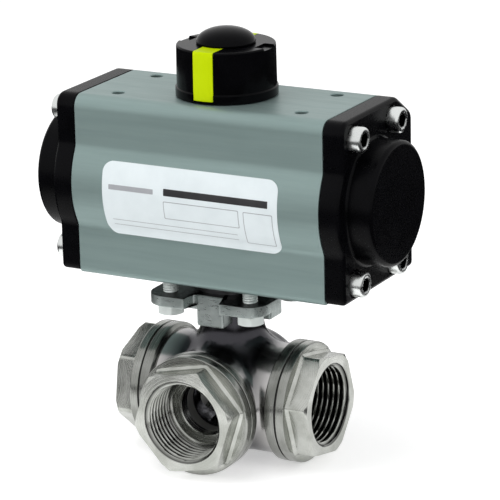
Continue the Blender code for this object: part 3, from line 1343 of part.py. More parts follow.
def build_stem_nut():
    """A cone-shaped disc spring under the nut that loads the packing."""
    inner = STEM_DIAMETER / 2 + GAP
    outer = PACKING_DIAMETER / 2 - GAP
    low = disc_spring_floor()
    thick = DISC_SPRING_THICKNESS
    cone = DISC_SPRING_CONE
    spring = turned([(outer, low + thick), (outer, low), (inner, low + cone), (inner, low + cone + thick)])
    piece("disc_spring", spring, "spring_steel")
    floor = stem_nut_floor()
    corner = STEM_NUT_FLATS / math.sqrt(3)
    chamfer = (corner - STEM_NUT_FLATS / 2) * 0.7
    nut = turned([
        (STEM_NUT_FLATS / 2, floor + STEM_NUT_HEIGHT), (corner + OVERLAP, floor + STEM_NUT_HEIGHT - chamfer),
        (corner + OVERLAP, floor), (inner, floor), (inner, floor + STEM_NUT_HEIGHT)])
    hexagon = prism(polygon(STEM_NUT_FLATS, 6), floor - OVERLAP, floor + STEM_NUT_HEIGHT + OVERLAP)
    combine(nut, hexagon, "INTERSECT")
    piece("stem_nut", nut, "bright_steel")


# Mounting

def build_centring_ring():
    """The spigot ring that carries and centres the actuator on the pad."""
    outer = CENTRING_DIAMETER / 2
    low = PAD_TOP_Z - CENTRING_SINK_PAD
    high = BODY_BOTTOM_Z + CENTRING_SINK_BODY
    piece("centring_ring", ring(outer - CENTRING_WALL, outer, low, high), "nickel_steel")


def build_mount_bolts():
    seat = PAD_TOP_Z - PAD_THICKNESS - GAP
    reach = BODY_BOTTOM_Z + MOUNT_BOLT_ENGAGEMENT - seat
    for number, (x, y) in enumerate(mount_bolt_places(), 1):
        bolt = hex_head_bolt(MOUNT_BOLT_FLATS, MOUNT_BOLT_HEAD_HEIGHT, MOUNT_BOLT_THREAD, reach)
        piece(f"mount_bolt_{number}", place(bolt, (x, y, seat)), "bright_steel")


def build():
    build_actuator_body()
    for side in (-1, 1):
        build_end_cap(side)
        build_cap_seal(side)
        build_cap_screws(side)
        build_piston(side)
        build_rack_guide(side)
        build_stop_screw(side)
    build_pinion()
    build_pinion_seals()
    build_pinion_bearings()
    build_snap_ring()
    build_stop_cam()
    build_indicator_cap()
    build_indicator_strip()
    build_indicator_screw()
    build_knob()
    build_valve_body()
    for side in ("left", "right", "front"):
        build_port_cap(side)
        build_port_seal(side)
        build_ball_seat(side)
    build_ball_seat("rear")
    build_ball()
    build_stem()
    build_stem_seals()
    build_stem_nut()
    build_centring_ring()
    build_mount_bolts()


build()
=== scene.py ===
# %% [markdown]
# # A pneumatic three-way ball valve
# The valve is three things on one upright axis: a stainless ball valve with three threaded ports, an
# aluminium actuator that turns its ball a quarter turn, and a black drum on top that shows where the ball
# stands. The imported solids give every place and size. This script gives each visible solid a finer surface
# and a finish. Lengths in the shapes below are in millimetres, because that is how such parts are drawn.
# They become metres when a mesh is made. The studio and the camera are in metres.

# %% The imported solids
import math

import bmesh
import bpy
import numpy as np
from mathutils import Matrix, Vector


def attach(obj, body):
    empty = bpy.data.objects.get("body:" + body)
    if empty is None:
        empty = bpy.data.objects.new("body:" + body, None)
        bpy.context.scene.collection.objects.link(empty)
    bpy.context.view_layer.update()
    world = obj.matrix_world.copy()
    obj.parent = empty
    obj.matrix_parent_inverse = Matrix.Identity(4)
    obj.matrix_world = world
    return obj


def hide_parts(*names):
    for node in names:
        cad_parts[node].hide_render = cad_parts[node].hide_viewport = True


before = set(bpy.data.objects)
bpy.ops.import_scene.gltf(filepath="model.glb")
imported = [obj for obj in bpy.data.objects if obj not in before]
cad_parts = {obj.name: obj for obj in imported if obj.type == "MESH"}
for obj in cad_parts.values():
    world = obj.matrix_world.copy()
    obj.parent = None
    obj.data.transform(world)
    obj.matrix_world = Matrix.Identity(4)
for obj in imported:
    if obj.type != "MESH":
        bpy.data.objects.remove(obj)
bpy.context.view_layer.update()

MM = 0.001
BORE_Z = 85.4
BODY_TOP = 121.4
PAD_TOP = 44.4
FLOOR_Z = -24.1

# %% [markdown]
# ## Surfaces from two parameters
# Almost every piece here is a stack of closed loops: a turned part is a profile swept round an axis, and an
# extrusion is an outline repeated along a line. So one array of points, loops by points round each loop,
# describes a piece, and one function skins it. Real edges are never knife sharp, so profiles get small
# fillets first. The fillet is what catches the light along an edge.

# %% Fillets and loops


def fillet(points, radius, steps):
    """Rounds the inner corners of open polylines, an array of shape (..., corners, 2).

    The arc touches both legs at radius / tan(half the corner's angle) from the corner, and at most 0.45 of
    the shorter leg. Its points come from turning the start radius to the end radius about the arc's centre.
    """
    points = np.asarray(points, float)
    corner = points[..., 1:-1, :]
    back = points[..., :-2, :] - corner
    on = points[..., 2:, :] - corner
    back_length = np.maximum(np.linalg.norm(back, axis=-1), 1e-9)
    on_length = np.maximum(np.linalg.norm(on, axis=-1), 1e-9)
    back = back / back_length[..., None]
    on = on / on_length[..., None]
    half = np.arccos(np.clip((back * on).sum(-1), -0.99999, 0.99999)) / 2
    reach = np.minimum(np.asarray(radius, float) / np.tan(half), 0.45 * np.minimum(back_length, on_length))
    middle = back + on
    middle = middle / np.maximum(np.linalg.norm(middle, axis=-1, keepdims=True), 1e-9)
    centre = corner + middle * (reach / np.cos(half))[..., None]
    start = corner + back * reach[..., None] - centre
    end = corner + on * reach[..., None] - centre
    swing = (math.pi - 2 * half)[..., None, None]
    part = np.linspace(0.0, 1.0, steps)[:, None]
    arc = np.sin((1 - part) * swing) * start[..., None, :] + np.sin(part * swing) * end[..., None, :]
    arc = centre[..., None, :] + arc / np.maximum(np.sin(swing), 1e-6)
    arc = arc.reshape(points.shape[:-2] + (-1, 2))
    return np.concatenate([points[..., :1, :], arc, points[..., -1:, :]], axis=-2)


def full_turn(steps):
    """Evenly spaced angles once round."""
    return np.linspace(0.0, 2 * math.pi, steps, endpoint=False)


def turned(profile, steps=96):
    """Loops of a turned part: each (radius, height) of the profile goes once round Z."""
    profile = np.asarray(profile, float)
    angle = full_turn(steps)
    height = np.repeat(profile[:, 1:], steps, 1)
    return np.stack([profile[:, :1] * np.cos(angle), profile[:, :1] * np.sin(angle), height], -1)


def columns(radius, height):
    """Loops of a part whose profile changes with the angle: radius and height have shape (angles, rows)."""
    angle = full_turn(radius.shape[0])[:, None]
    points = np.stack([radius * np.cos(angle), radius * np.sin(angle), height], -1)
    return points.transpose(1, 0, 2)


def spread(rows, steps):
    """Radius and height for columns, from (radius, height) rows of numbers or of arrays over the angle."""
    radius = np.stack([np.broadcast_to(row[0], steps) for row in rows], -1)
    height = np.stack([np.broadcast_to(row[1], steps) for row in rows], -1)
    return radius, height


def toward(points, side, at=(0.0, 0.0, 0.0)):
    """Turns points so that their own +Z looks to a side, then moves them to a place."""
    x, y, z = points[..., 0], points[..., 1], points[..., 2]
    turned_points = {
        "up": (x, y, z), "down": (x, -y, -z), "right": (z, y, -x), "left": (-z, y, x),
        "front": (x, -z, y), "rear": (x, z, -y)}[side]
    return np.stack(turned_points, -1) + np.asarray(at, float)


def skin(loops, closed):
    """Vertices and quads of a stack of loops, turned outwards by the sign of the volume that they hold.

    Quad (i, j) joins points j and j + 1 of loops i and i + 1. The volume is the sum of the tetrahedra from
    the middle of the points to each half quad.
    """
    count, around = loops.shape[:2]
    index = np.arange(count * around).reshape(count, around)
    if closed:
        index = np.vstack([index, index[:1]])
    across = np.roll(index, -1, axis=1)
    quads = np.stack([index[:-1], across[:-1], across[1:], index[1:]], -1).reshape(-1, 4)
    points = loops.reshape(-1, 3)
    middle = points.mean(0)
    a, b, c, d = (points[quads[:, k]] - middle for k in range(4))
    volume = (a * np.cross(b, c)).sum() + (a * np.cross(c, d)).sum()
    return points, quads if volume > 0 else quads[:, ::-1]


def mesh_of(name, loops, closed=False):
    """A mesh from a stack of loops. Points that coincide, as at a pole, are merged."""
    points, quads = skin(loops, closed)
    mesh = bpy.data.meshes.new(name)
    mesh.from_pydata(points * MM, [], quads)
    clean = bmesh.new()
    clean.from_mesh(mesh)
    bmesh.ops.remove_doubles(clean, verts=clean.verts, dist=2e-7)
    bmesh.ops.dissolve_degenerate(clean, edges=clean.edges, dist=1e-7)
    clean.to_mesh(mesh)
    clean.free()
    return mesh


# %% [markdown]
# ## Cutting and finishing a piece
# Holes that go across a surface are cut with a Boolean, as a drill would. A finished piece rides on the body
# that carries it and stands for the solid of the same place, which stays in the physics model.

# %% Cutting and finishing


def carve(mesh, *cutters, operation="DIFFERENCE", solver="EXACT"):
    """The mesh after each cutter mesh has been taken from it, or joined to it."""
    item = bpy.data.objects.new("work", mesh)
    bpy.context.scene.collection.objects.link(item)
    for cutter_mesh in cutters:
        cutter = bpy.data.objects.new("cutter", cutter_mesh)
        bpy.context.scene.collection.objects.link(cutter)
        step = item.modifiers.new("carve", "BOOLEAN")
        step.operation = operation
        step.solver = solver
        step.object = cutter
        bpy.context.view_layer.update()
        result = bpy.data.meshes.new_from_object(item.evaluated_get(bpy.context.evaluated_depsgraph_get()))
        item.modifiers.clear()
        item.data = result
        bpy.data.objects.remove(cutter)
    result = item.data
    bpy.data.objects.remove(item)
    return result


def piece(name, mesh, material, body, *stands_for, sharp=38.0, weighted=True):
    """Puts a mesh in the scene with its finish, its body and the solids that it stands for."""
    item = bpy.data.objects.new(name, mesh)
    bpy.context.scene.collection.objects.link(item)
    mesh.shade_smooth()
    mesh.set_sharp_from_angle(angle=math.radians(sharp))
    mesh.materials.clear()
    mesh.materials.append(material)
    if weighted:
        normals = item.modifiers.new("even normals", "WEIGHTED_NORMAL")
        normals.keep_sharp = True
    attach(item, body)
    if stands_for:
        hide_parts(*stands_for)


def paint_shade_and_reflection(mesh, amount):
    """Keeps each vertex's share of painted shade and dark reflection, from 0 to 1. The function amount takes
    the points in millimetres.
    """
    points = np.empty(3 * len(mesh.vertices))
    mesh.vertices.foreach_get("co", points)
    share = np.clip(amount(points.reshape(-1, 3) / MM), 0.0, 1.0)
    mesh.attributes.new("paint_shade_and_reflection", "FLOAT", "POINT").data.foreach_set("value", share.astype(np.float32))


print("the frame holds", len(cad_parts), "solids")

# %% [markdown]
# ## Finishes
# Three effects come back in several finishes, so each is a node group with named inputs: a noise, which
# makes both a slow mottling and a small grain, the fine rings that a lathe leaves round an axis, and a
# mix into a darker colour for painted shade and painted dark reflection. The first two read Object
# coordinates in metres, so a stretch of 1000 gives features of about a millimetre. The groups only give
# masks, heights and a colour. Each material keeps its own shader and sets its own constants there.

# %% Node groups


def group_sockets(name, inputs, outputs):
    """An empty node group with the named sockets, and its input and output nodes."""
    group = bpy.data.node_groups.new(name, "ShaderNodeTree")
    for label, kind, value in inputs:
        socket = group.interface.new_socket(name=label, in_out="INPUT", socket_type=kind)
        if value is not None:
            socket.default_value = value
    for label in outputs:
        group.interface.new_socket(name=label, in_out="OUTPUT", socket_type="NodeSocketFloat")
    return group, group.nodes.new("NodeGroupInput"), group.nodes.new("NodeGroupOutput")


def add(tree, kind, **settings):
    """A new node of a tree or group, with its settings."""
    node = tree.nodes.new(kind)
    for key, value in settings.items():
        setattr(node, key, value)
    return node


def grain_group():
    """Noise on stretched coordinates: Mask is the noise between Low and High, Height is the noise itself."""
    group, source, result = group_sockets(
        "grain",
        [("Vector", "NodeSocketVector", None), ("Stretch", "NodeSocketVector", (1000.0, 1000.0, 1000.0)),
         ("Low", "NodeSocketFloat", 0.35), ("High", "NodeSocketFloat", 0.65)],
        ["Mask", "Height"])
    stretch = add(group, "ShaderNodeVectorMath", operation="MULTIPLY")
    noise = add(group, "ShaderNodeTexNoise", noise_dimensions="3D")
    noise.inputs["Scale"].default_value = 1.0
    noise.inputs["Detail"].default_value = 5.0
    span = add(group, "ShaderNodeMapRange")
    link = group.links.new
    link(source.outputs["Vector"], stretch.inputs[0])
    link(source.outputs["Stretch"], stretch.inputs[1])
    link(stretch.outputs[0], noise.inputs["Vector"])
    link(noise.outputs["Fac"], span.inputs["Value"])
    link(source.outputs["Low"], span.inputs["From Min"])
    link(source.outputs["High"], span.inputs["From Max"])
    link(span.outputs["Result"], result.inputs["Mask"])
    link(noise.outputs["Fac"], result.inputs["Height"])
    return group


def rings_group():
    """Rings round an axis: a sine of the distance from the axis and of the way along it, roughened by noise.

    Across is 1 on the two axes that lie across the turning axis, and Along is 1 on the turning axis.
    """
    group, source, result = group_sockets(
        "turning rings",
        [("Vector", "NodeSocketVector", None), ("Across", "NodeSocketVector", (0.0, 1.0, 1.0)),
         ("Along", "NodeSocketVector", (1.0, 0.0, 0.0)), ("Per Metre", "NodeSocketFloat", 2500.0)],
        ["Mask", "Height"])
    across = add(group, "ShaderNodeVectorMath", operation="MULTIPLY")
    along = add(group, "ShaderNodeVectorMath", operation="DOT_PRODUCT")
    radius = add(group, "ShaderNodeVectorMath", operation="LENGTH")
    both = add(group, "ShaderNodeMath", operation="ADD")
    fine = add(group, "ShaderNodeMath", operation="MULTIPLY")
    noise = add(group, "ShaderNodeTexNoise", noise_dimensions="1D")
    noise.inputs["Scale"].default_value = 1.0
    noise.inputs["Detail"].default_value = 3.0
    span = add(group, "ShaderNodeMapRange")
    span.inputs["From Min"].default_value = 0.3
    span.inputs["From Max"].default_value = 0.7
    link = group.links.new
    link(source.outputs["Vector"], across.inputs[0])
    link(source.outputs["Across"], across.inputs[1])
    link(source.outputs["Vector"], along.inputs[0])
    link(source.outputs["Along"], along.inputs[1])
    link(across.outputs[0], radius.inputs[0])
    link(radius.outputs["Value"], both.inputs[0])
    link(along.outputs["Value"], both.inputs[1])
    link(both.outputs[0], fine.inputs[0])
    link(source.outputs["Per Metre"], fine.inputs[1])
    link(fine.outputs[0], noise.inputs["W"])
    link(noise.outputs["Fac"], span.inputs["Value"])
    link(span.outputs["Result"], result.inputs["Mask"])
    link(noise.outputs["Fac"], result.inputs["Height"])
    return group


def shade_and_reflection_group():
    """Goes from the clean colour to the painted dark one, for shade and dark reflection, by an amount from 0
    to 1.
    """
    group, source, result = group_sockets(
        "paint_shade_and_reflection", [("Clean", "NodeSocketColor", None), ("Painted Dark", "NodeSocketColor", None),
                  ("Amount", "NodeSocketFloat", 0.0)], [])
    group.interface.new_socket(name="Colour", in_out="OUTPUT", socket_type="NodeSocketColor")
    mix = add(group, "ShaderNodeMix", data_type="RGBA")
    link = group.links.new
    link(source.outputs["Amount"], mix.inputs["Factor"])
    link(source.outputs["Clean"], mix.inputs["A"])
    link(source.outputs["Painted Dark"], mix.inputs["B"])
    link(mix.outputs["Result"], result.inputs["Colour"])
    return group


GRAIN = grain_group()
RINGS = rings_group()
SHADE_AND_REFLECTION = shade_and_reflection_group()
print("node groups:", GRAIN.name, RINGS.name, SHADE_AND_REFLECTION.name)

# %% [markdown]
# Every finish below is made by one function, because they differ only in values: two close colours that a
# mottling mixes, a span of roughness that a second mask moves through, and a bump. A metal also takes rings
# where it was turned, round its own axis. Where its mesh says so, a finish darkens by painted shade in
# hollows and gaps, and by painted dark reflection on polished metal.

# %% One function for the finishes
BUMP_DISTANCE = 0.0001


def finish(name, colour, other, roughness, metallic, mottle=(120.0,) * 3, bump=0.1, grain=(1500.0,) * 3,
           rings=None, ring_bump=0.2, painted_dark_colour=None, specular=0.5):
    """A material whose colour drifts between two values. Its roughness and bump come from grain and rings.

    Where a mesh carries painted shade and dark reflection from 0 to 1, its colour goes over to the painted
    dark one by that share.
    """
    material = bpy.data.materials.new(name)
    material.use_nodes = True
    tree = material.node_tree
    shader = tree.nodes["Principled BSDF"]
    shader.inputs["Metallic"].default_value = metallic
    shader.inputs["Specular IOR Level"].default_value = specular
    place = add(tree, "ShaderNodeTexCoord")
    slow = add(tree, "ShaderNodeGroup", node_tree=GRAIN)
    slow.inputs["Stretch"].default_value = mottle
    small = add(tree, "ShaderNodeGroup", node_tree=GRAIN)
    small.inputs["Stretch"].default_value = grain
    mix = add(tree, "ShaderNodeMix", data_type="RGBA")
    mix.inputs["A"].default_value = (*colour, 1.0)
    mix.inputs["B"].default_value = (*other, 1.0)
    rough = add(tree, "ShaderNodeMapRange")
    rough.inputs["To Min"].default_value = roughness[0]
    rough.inputs["To Max"].default_value = roughness[1]
    relief = add(tree, "ShaderNodeBump")
    relief.inputs["Strength"].default_value = bump
    relief.inputs["Distance"].default_value = BUMP_DISTANCE
    link = tree.links.new
    link(place.outputs["Object"], slow.inputs["Vector"])
    link(place.outputs["Object"], small.inputs["Vector"])
    link(slow.outputs["Mask"], mix.inputs["Factor"])
    if painted_dark_colour:
        amount = add(tree, "ShaderNodeAttribute", attribute_name="paint_shade_and_reflection")
        over = add(tree, "ShaderNodeGroup", node_tree=SHADE_AND_REFLECTION)
        over.inputs["Painted Dark"].default_value = (*painted_dark_colour, 1.0)
        link(amount.outputs["Fac"], over.inputs["Amount"])
        link(mix.outputs["Result"], over.inputs["Clean"])
        link(over.outputs["Colour"], shader.inputs["Base Color"])
    else:
        link(mix.outputs["Result"], shader.inputs["Base Color"])
    link(small.outputs["Height"], relief.inputs["Height"])
    if rings:
        across, along, per_metre = rings
        turning = add(tree, "ShaderNodeGroup", node_tree=RINGS)
        turning.inputs["Across"].default_value = across
        turning.inputs["Along"].default_value = along
        turning.inputs["Per Metre"].default_value = per_metre
        link(place.outputs["Object"], turning.inputs["Vector"])
        link(turning.outputs["Mask"], rough.inputs["Value"])
        second = add(tree, "ShaderNodeBump")
        second.inputs["Strength"].default_value = ring_bump
        second.inputs["Distance"].default_value = BUMP_DISTANCE
        link(turning.outputs["Height"], second.inputs["Height"])
        link(relief.outputs["Normal"], second.inputs["Normal"])
        link(second.outputs["Normal"], shader.inputs["Normal"])
    else:
        link(small.outputs["Mask"], rough.inputs["Value"])
        link(relief.outputs["Normal"], shader.inputs["Normal"])
    link(rough.outputs["Result"], shader.inputs["Roughness"])
    return material


# %% The finishes
RINGS_PER_METRE = 2600.0
AXIS_X = ((0.0, 1.0, 1.0), (1.0, 0.0, 0.0), RINGS_PER_METRE)
AXIS_Y = ((1.0, 0.0, 1.0), (0.0, 1.0, 0.0), RINGS_PER_METRE)
AXIS_Z = ((1.0, 1.0, 0.0), (0.0, 0.0, 1.0), RINGS_PER_METRE)
DEEP_BLACK = ((0.0010, 0.0010, 0.0014), (0.0018, 0.0018, 0.0024))
# Painted shade inside the housing's holes.
PAINTED_HOLE_SHADE = (0.01, 0.01, 0.01)
# Painted shade in hollows and gaps, and painted dark reflection on the polished collars and rings.
PAINTED_SHADE_AND_DARK_REFLECTION = (0.006, 0.006, 0.006)
ANODISED = finish("anodised aluminium", (0.215, 0.29, 0.28), (0.24, 0.32, 0.31), (0.38, 0.48), 0.5,
                  mottle=(15.0, 300.0, 300.0), bump=0.08, grain=(120.0, 2600.0, 2600.0), painted_dark_colour=PAINTED_HOLE_SHADE)
BLACK_COAT = finish("black powder coat", *DEEP_BLACK, (0.24, 0.34), 0.0, bump=0.12, grain=(1400.0,) * 3,
                    specular=0.06)
CASTING = finish("polished casting", (0.44, 0.43, 0.43), (0.48, 0.47, 0.46), (0.18, 0.24), 1.0,
                 mottle=(90.0,) * 3, bump=0.008, grain=(500.0,) * 3, painted_dark_colour=(0.05, 0.049, 0.055))
PORT_LOOK = {
    "colour": (0.38, 0.39, 0.36), "other": (0.55, 0.56, 0.53), "roughness": (0.14, 0.30), "metallic": 1.0,
    "mottle": (110.0,) * 3, "bump": 0.04, "ring_bump": 0.25, "painted_dark_colour": PAINTED_SHADE_AND_DARK_REFLECTION}
TURNED_X = finish("turned steel, side ports", rings=AXIS_X, **PORT_LOOK)
TURNED_Y = finish("turned steel, front port", rings=AXIS_Y, **PORT_LOOK)
TURNED_Z = finish("turned steel, upright", (0.55, 0.54, 0.51), (0.62, 0.61, 0.58), (0.22, 0.36), 1.0,
                  rings=AXIS_Z, ring_bump=0.2)
MILLED = finish("milled pad", (0.30, 0.34, 0.33), (0.40, 0.44, 0.43), (0.26, 0.38), 0.9,
                mottle=(200.0, 900.0, 200.0), bump=0.035, grain=(300.0, 1600.0, 1600.0), painted_dark_colour=PAINTED_SHADE_AND_DARK_REFLECTION)
BALL = finish("polished ball", (0.24, 0.24, 0.25), (0.28, 0.28, 0.29), (0.08, 0.14), 1.0, bump=0.02)
BRIGHT = finish("bright screw steel", (0.70, 0.72, 0.71), (0.76, 0.78, 0.77), (0.24, 0.30), 1.0, bump=0.005,
                grain=(400.0,) * 3, painted_dark_colour=PAINTED_SHADE_AND_DARK_REFLECTION)
ZINC = finish("zinc plated steel", (0.74, 0.79, 0.77), (0.80, 0.85, 0.83), (0.40, 0.50), 0.6, bump=0.0)
SPRING_STEEL_AND_SHADE = finish("spring steel and painted shade", (0.10, 0.10, 0.105), (0.15, 0.15, 0.155), (0.30, 0.42), 1.0)
NICKEL = finish("nickel plated steel", (0.52, 0.50, 0.46), (0.58, 0.56, 0.52), (0.24, 0.36), 1.0)
DIE_CAST = finish("die cast aluminium", (0.55, 0.56, 0.57), (0.63, 0.64, 0.65), (0.38, 0.52), 1.0, bump=0.25)
BLACK_PLASTIC = finish("black plastic", *DEEP_BLACK, (0.16, 0.22), 0.0, bump=0.04, grain=(2200.0,) * 3,
                       specular=0.06)
YELLOW_PLASTIC = finish("yellow plastic", (0.46, 0.60, 0.0), (0.48, 0.62, 0.001), (0.34, 0.44), 0.0,
                        bump=0.04, specular=0.06)
POLYMER = finish("white polymer", (0.78, 0.78, 0.75), (0.86, 0.86, 0.83), (0.42, 0.55), 0.0, bump=0.05,
                 painted_dark_colour=PAINTED_SHADE_AND_DARK_REFLECTION)
RUBBER = finish("black rubber", (0.018, 0.018, 0.018), (0.028, 0.028, 0.028), (0.6, 0.75), 0.0, bump=0.2)
PLATE = finish("plate film", (0.64, 0.70, 0.72), (0.68, 0.74, 0.76), (0.30, 0.38), 0.0, bump=0.02)
PLATE_GREY = finish("plate print, grey", (0.30, 0.31, 0.33), (0.34, 0.35, 0.37), (0.32, 0.40), 0.0, bump=0.02)
PLATE_DARK = finish("plate print, dark", (0.02, 0.02, 0.022), (0.03, 0.03, 0.032), (0.30, 0.38), 0.0,
                    bump=0.02)
print("finishes:", len(bpy.data.materials))

# %% [markdown]
# ## The actuator's housing
# The housing is an aluminium extrusion: one outline along its whole length. The front bulges out where the
# round bore comes close to the surface, and the rear top edge is cut at a slant. The outline is drawn from
# arcs and straight runs, spaced evenly along its length and smoothed a little, as a die's sharp corners are.
# A small hollow arc leads from the bulge to the flat above and below it. It touches both, so its centre is
# as far from the bore as the two radii together, and BLEND_Z follows from Pythagoras.

# %% The outline
FRONT_Y = 25.6
REAR_Y = 35.0
BULGE = 30.0
BLEND = 5.0
BLEND_Y = FRONT_Y + BLEND
BLEND_Z = math.sqrt((BULGE + BLEND) ** 2 - BLEND_Y ** 2)
MEET = math.atan2(BLEND_Z, BLEND_Y)


def arc(centre, radius, start, end, steps):
    """Points on a circle between two angles in degrees."""
    angle = np.radians(np.linspace(start, end, steps))
    return np.stack([centre[0] + radius * np.cos(angle), centre[1] + radius * np.sin(angle)], -1)


def evened(drawn, count):
    """Points spaced evenly along the closed line through the drawn ones, and their spacing."""
    drawn = np.concatenate([drawn, drawn[:1]])
    length = np.concatenate([[0.0], np.cumsum(np.linalg.norm(np.diff(drawn, axis=0), axis=1))])
    even = np.linspace(0.0, length[-1], count, endpoint=False)
    points = np.stack([np.interp(even, length, drawn[:, k]) for k in range(2)], -1)
    return points, length[-1] / count


def housing_outline(bottom, low_radius, count=360, soften=0.5):
    """The outline in Y and Z about the bore: drawn clockwise from the front foot, then evened and softened.

    The slanted cut runs from the ridge on top to a drop below the top at the rear. Softening averages each
    point with its neighbours, weighted by a bell curve of the given width.
    """
    front, rear, top, corner = -FRONT_Y, REAR_Y, 36.0, 5.0
    ridge, drop = 21.5, 9.0
    meet = math.degrees(MEET)
    slant = math.atan2(rear - ridge, drop)
    upper = corner * math.tan((math.pi / 2 - slant) / 2)
    lower = corner * math.tan(slant / 2)
    drawn = np.concatenate([
        arc((front + low_radius, bottom + low_radius), low_radius, 270, 180, 10),
        arc((-BLEND_Y, -BLEND_Z), BLEND, 0, meet, 12),
        arc((0.0, 0.0), BULGE, 180 + meet, 180 - meet, 40)[1:-1],
        arc((-BLEND_Y, BLEND_Z), BLEND, -meet, 0, 12),
        arc((front + corner, top - corner), corner, 180, 90, 16),
        arc((ridge - upper, top - corner), corner, 90, math.degrees(slant), 10),
        arc((rear - corner, top - drop - lower), corner, math.degrees(slant), 0, 12),
        arc((rear - low_radius, bottom + low_radius), low_radius, 0, -90, 10)])
    points, spacing = evened(drawn, count)
    offsets = np.arange(-6, 7)
    weights = np.exp(-0.5 * (offsets * spacing / soften) ** 2)
    weights /= weights.sum()
    return sum(w * np.roll(points, int(k), axis=0) for w, k in zip(weights, offsets))


def inset(outline, amount):
    """The outline moved inwards along its own normals."""
    ahead = np.roll(outline, -1, axis=0) - np.roll(outline, 1, axis=0)
    normal = np.stack([ahead[:, 1], -ahead[:, 0]], -1)
    normal /= np.linalg.norm(normal, axis=1, keepdims=True)
    if (normal * outline).sum() < 0:
        normal = -normal
    return outline - normal * amount


def circle_beside(outline, radius):
    """Points on a circle about the bore at the same polar angles as the outline's points."""
    return outline / np.linalg.norm(outline, axis=1, keepdims=True) * radius


def stations(layers):
    """Loops from (x, outline) layers: the outline's Y and Z stand at each x, about the bore's axis."""
    return np.stack([
        np.concatenate([np.full((len(flat), 1), x), flat + (0.0, BORE_Z)], 1) for x, flat in layers])


outline = housing_outline(-36.0, 1.8)
print("outline spans", np.round(outline.min(0), 2), "to", np.round(outline.max(0), 2))

# %% [markdown]
# The tube closes on itself: the outer skin runs from end to end, turns in over a small edge, and comes back
# along the bore. The rear carries the flat pad of the air connection. The pad is joined on, and then the
# ports, the bracket holes on top and the screw holes round the ports are drilled.

# %% The housing
END_X = 54.0
BORE_RADIUS = 26.0
bore = circle_beside(outline, BORE_RADIUS)
end_edge = [(0.0, 0.35), (0.1, 0.12), (0.35, 0.0), (1.2, 0.0)]
tube = [(-END_X + way, inset(outline, move)) for way, move in end_edge]
tube += [(END_X - way, inset(outline, move)) for way, move in end_edge[::-1]]
tube += [(END_X, bore), (-END_X, bore)]
housing = mesh_of("housing", stations(tube), closed=True)


def hole(radius, depth, edge, side, at):
    """A drill for a blind hole whose mouth is broken by a small bevel."""
    profile = [(0.0, 3.0), (radius + edge + 1.0, 3.0), (radius + edge, 0.001), (radius + edge, 0.0),
               (radius, -edge), (radius, -depth), (0.0, -depth - radius * 0.4)]
    return toward(turned(profile, 40), side, at)


def rounded_slab(width, height, low, high, corner, edge, steps=8):
    """A slab with round corners and a softened top edge: loops of a rounded rectangle, closed by poles."""
    half = np.array([width / 2, height / 2])
    quarter = [arc((sx * (half[0] - corner), sy * (half[1] - corner)), corner, start, start + 90, steps)
               for sx, sy, start in ((1, 1, 0), (-1, 1, 90), (-1, -1, 180), (1, -1, 270))]
    flat = np.concatenate(quarter)
    rows = [(0.0, low, 0.0), (1.0, low, 0.0), (1.0, high - edge, 0.0), (1.0, high - edge * 0.3, edge * 0.3),
            (1.0, high, edge), (0.0, high, edge)]
    return np.stack([np.concatenate([inset(flat, move) * grow, np.full((len(flat), 1), z)], 1)
                     for grow, z, move in rows])


AIR_Z = BORE_Z - 10.0
AIR_FACE_Y = REAR_Y + 3.0
TOP_HOLE_X, TOP_HOLE_Y = 40.0, 15.0
AIR_HOLE_X, AIR_HOLE_Z = 16.0, 12.0
AIR_PORT_X = 12.0
SIGNS = [(first, second) for first in (-1, 1) for second in (-1, 1)]
air_pad = toward(rounded_slab(50.0, 34.0, -2.0, 3.0, 2.0, 0.4), "rear", (0.0, REAR_Y, AIR_Z))
drills = [hole(2.5, 8.0, 0.35, "up", (sx * TOP_HOLE_X, sy * TOP_HOLE_Y, BODY_TOP)) for sx, sy in SIGNS]
drills += [hole(2.1, 6.0, 0.3, "rear", (sx * AIR_HOLE_X, AIR_FACE_Y, AIR_Z + sz * AIR_HOLE_Z))
           for sx, sz in SIGNS]
drills += [hole(5.9, 8.0, 0.5, "rear", (sx * AIR_PORT_X, AIR_FACE_Y, AIR_Z)) for sx in (-1, 1)]
housing = carve(housing, mesh_of("pad", air_pad), operation="UNION")
housing = carve(housing, *[mesh_of("drill", drill) for drill in drills])


def painted_hole_shade(points):
    """Painted shade below the mouths of the four holes in the top, and of the two ports and four holes in the
    rear.
    """
    x, y, z = np.abs(points[:, 0]), points[:, 1], points[:, 2]
    below_top = (z < BODY_TOP - 0.6) & (z > BODY_TOP - 12.0)
    top = (np.hypot(x - TOP_HOLE_X, np.abs(y) - TOP_HOLE_Y) < 2.8) & below_top
    rear = (y < AIR_FACE_Y - 0.7) & (y > 20.0)
    ports = (np.hypot(x - AIR_PORT_X, z - AIR_Z) < 6.3) & rear
    bolts = (np.hypot(x - AIR_HOLE_X, np.abs(z - AIR_Z) - AIR_HOLE_Z) < 2.4) & rear
    return top | ports | bolts


paint_shade_and_reflection(housing, painted_hole_shade)
piece("housing", housing, ANODISED, "housing", "actuator_body")
print("housing faces:", len(housing.polygons))

# %% [markdown]
# ## The end caps
# Each cap is a die casting under a black powder coat: a plate with the housing's outline and a round boss
# over the bore. The plate's outer edge and the foot of the boss are rounded, as castings are, and the screw
# heads sit in shallow spot faces. The layers go from a pole inside, out to the outline, over the edge, in to
# the boss and up.

# %% The end caps
CAP_BACK = 54.3
CAP_FACE = 62.5
BOSS = 24.4
BOSS_FACE = 73.4
SPOT_FACE = 61.0
SPOT_RADIUS = 5.5


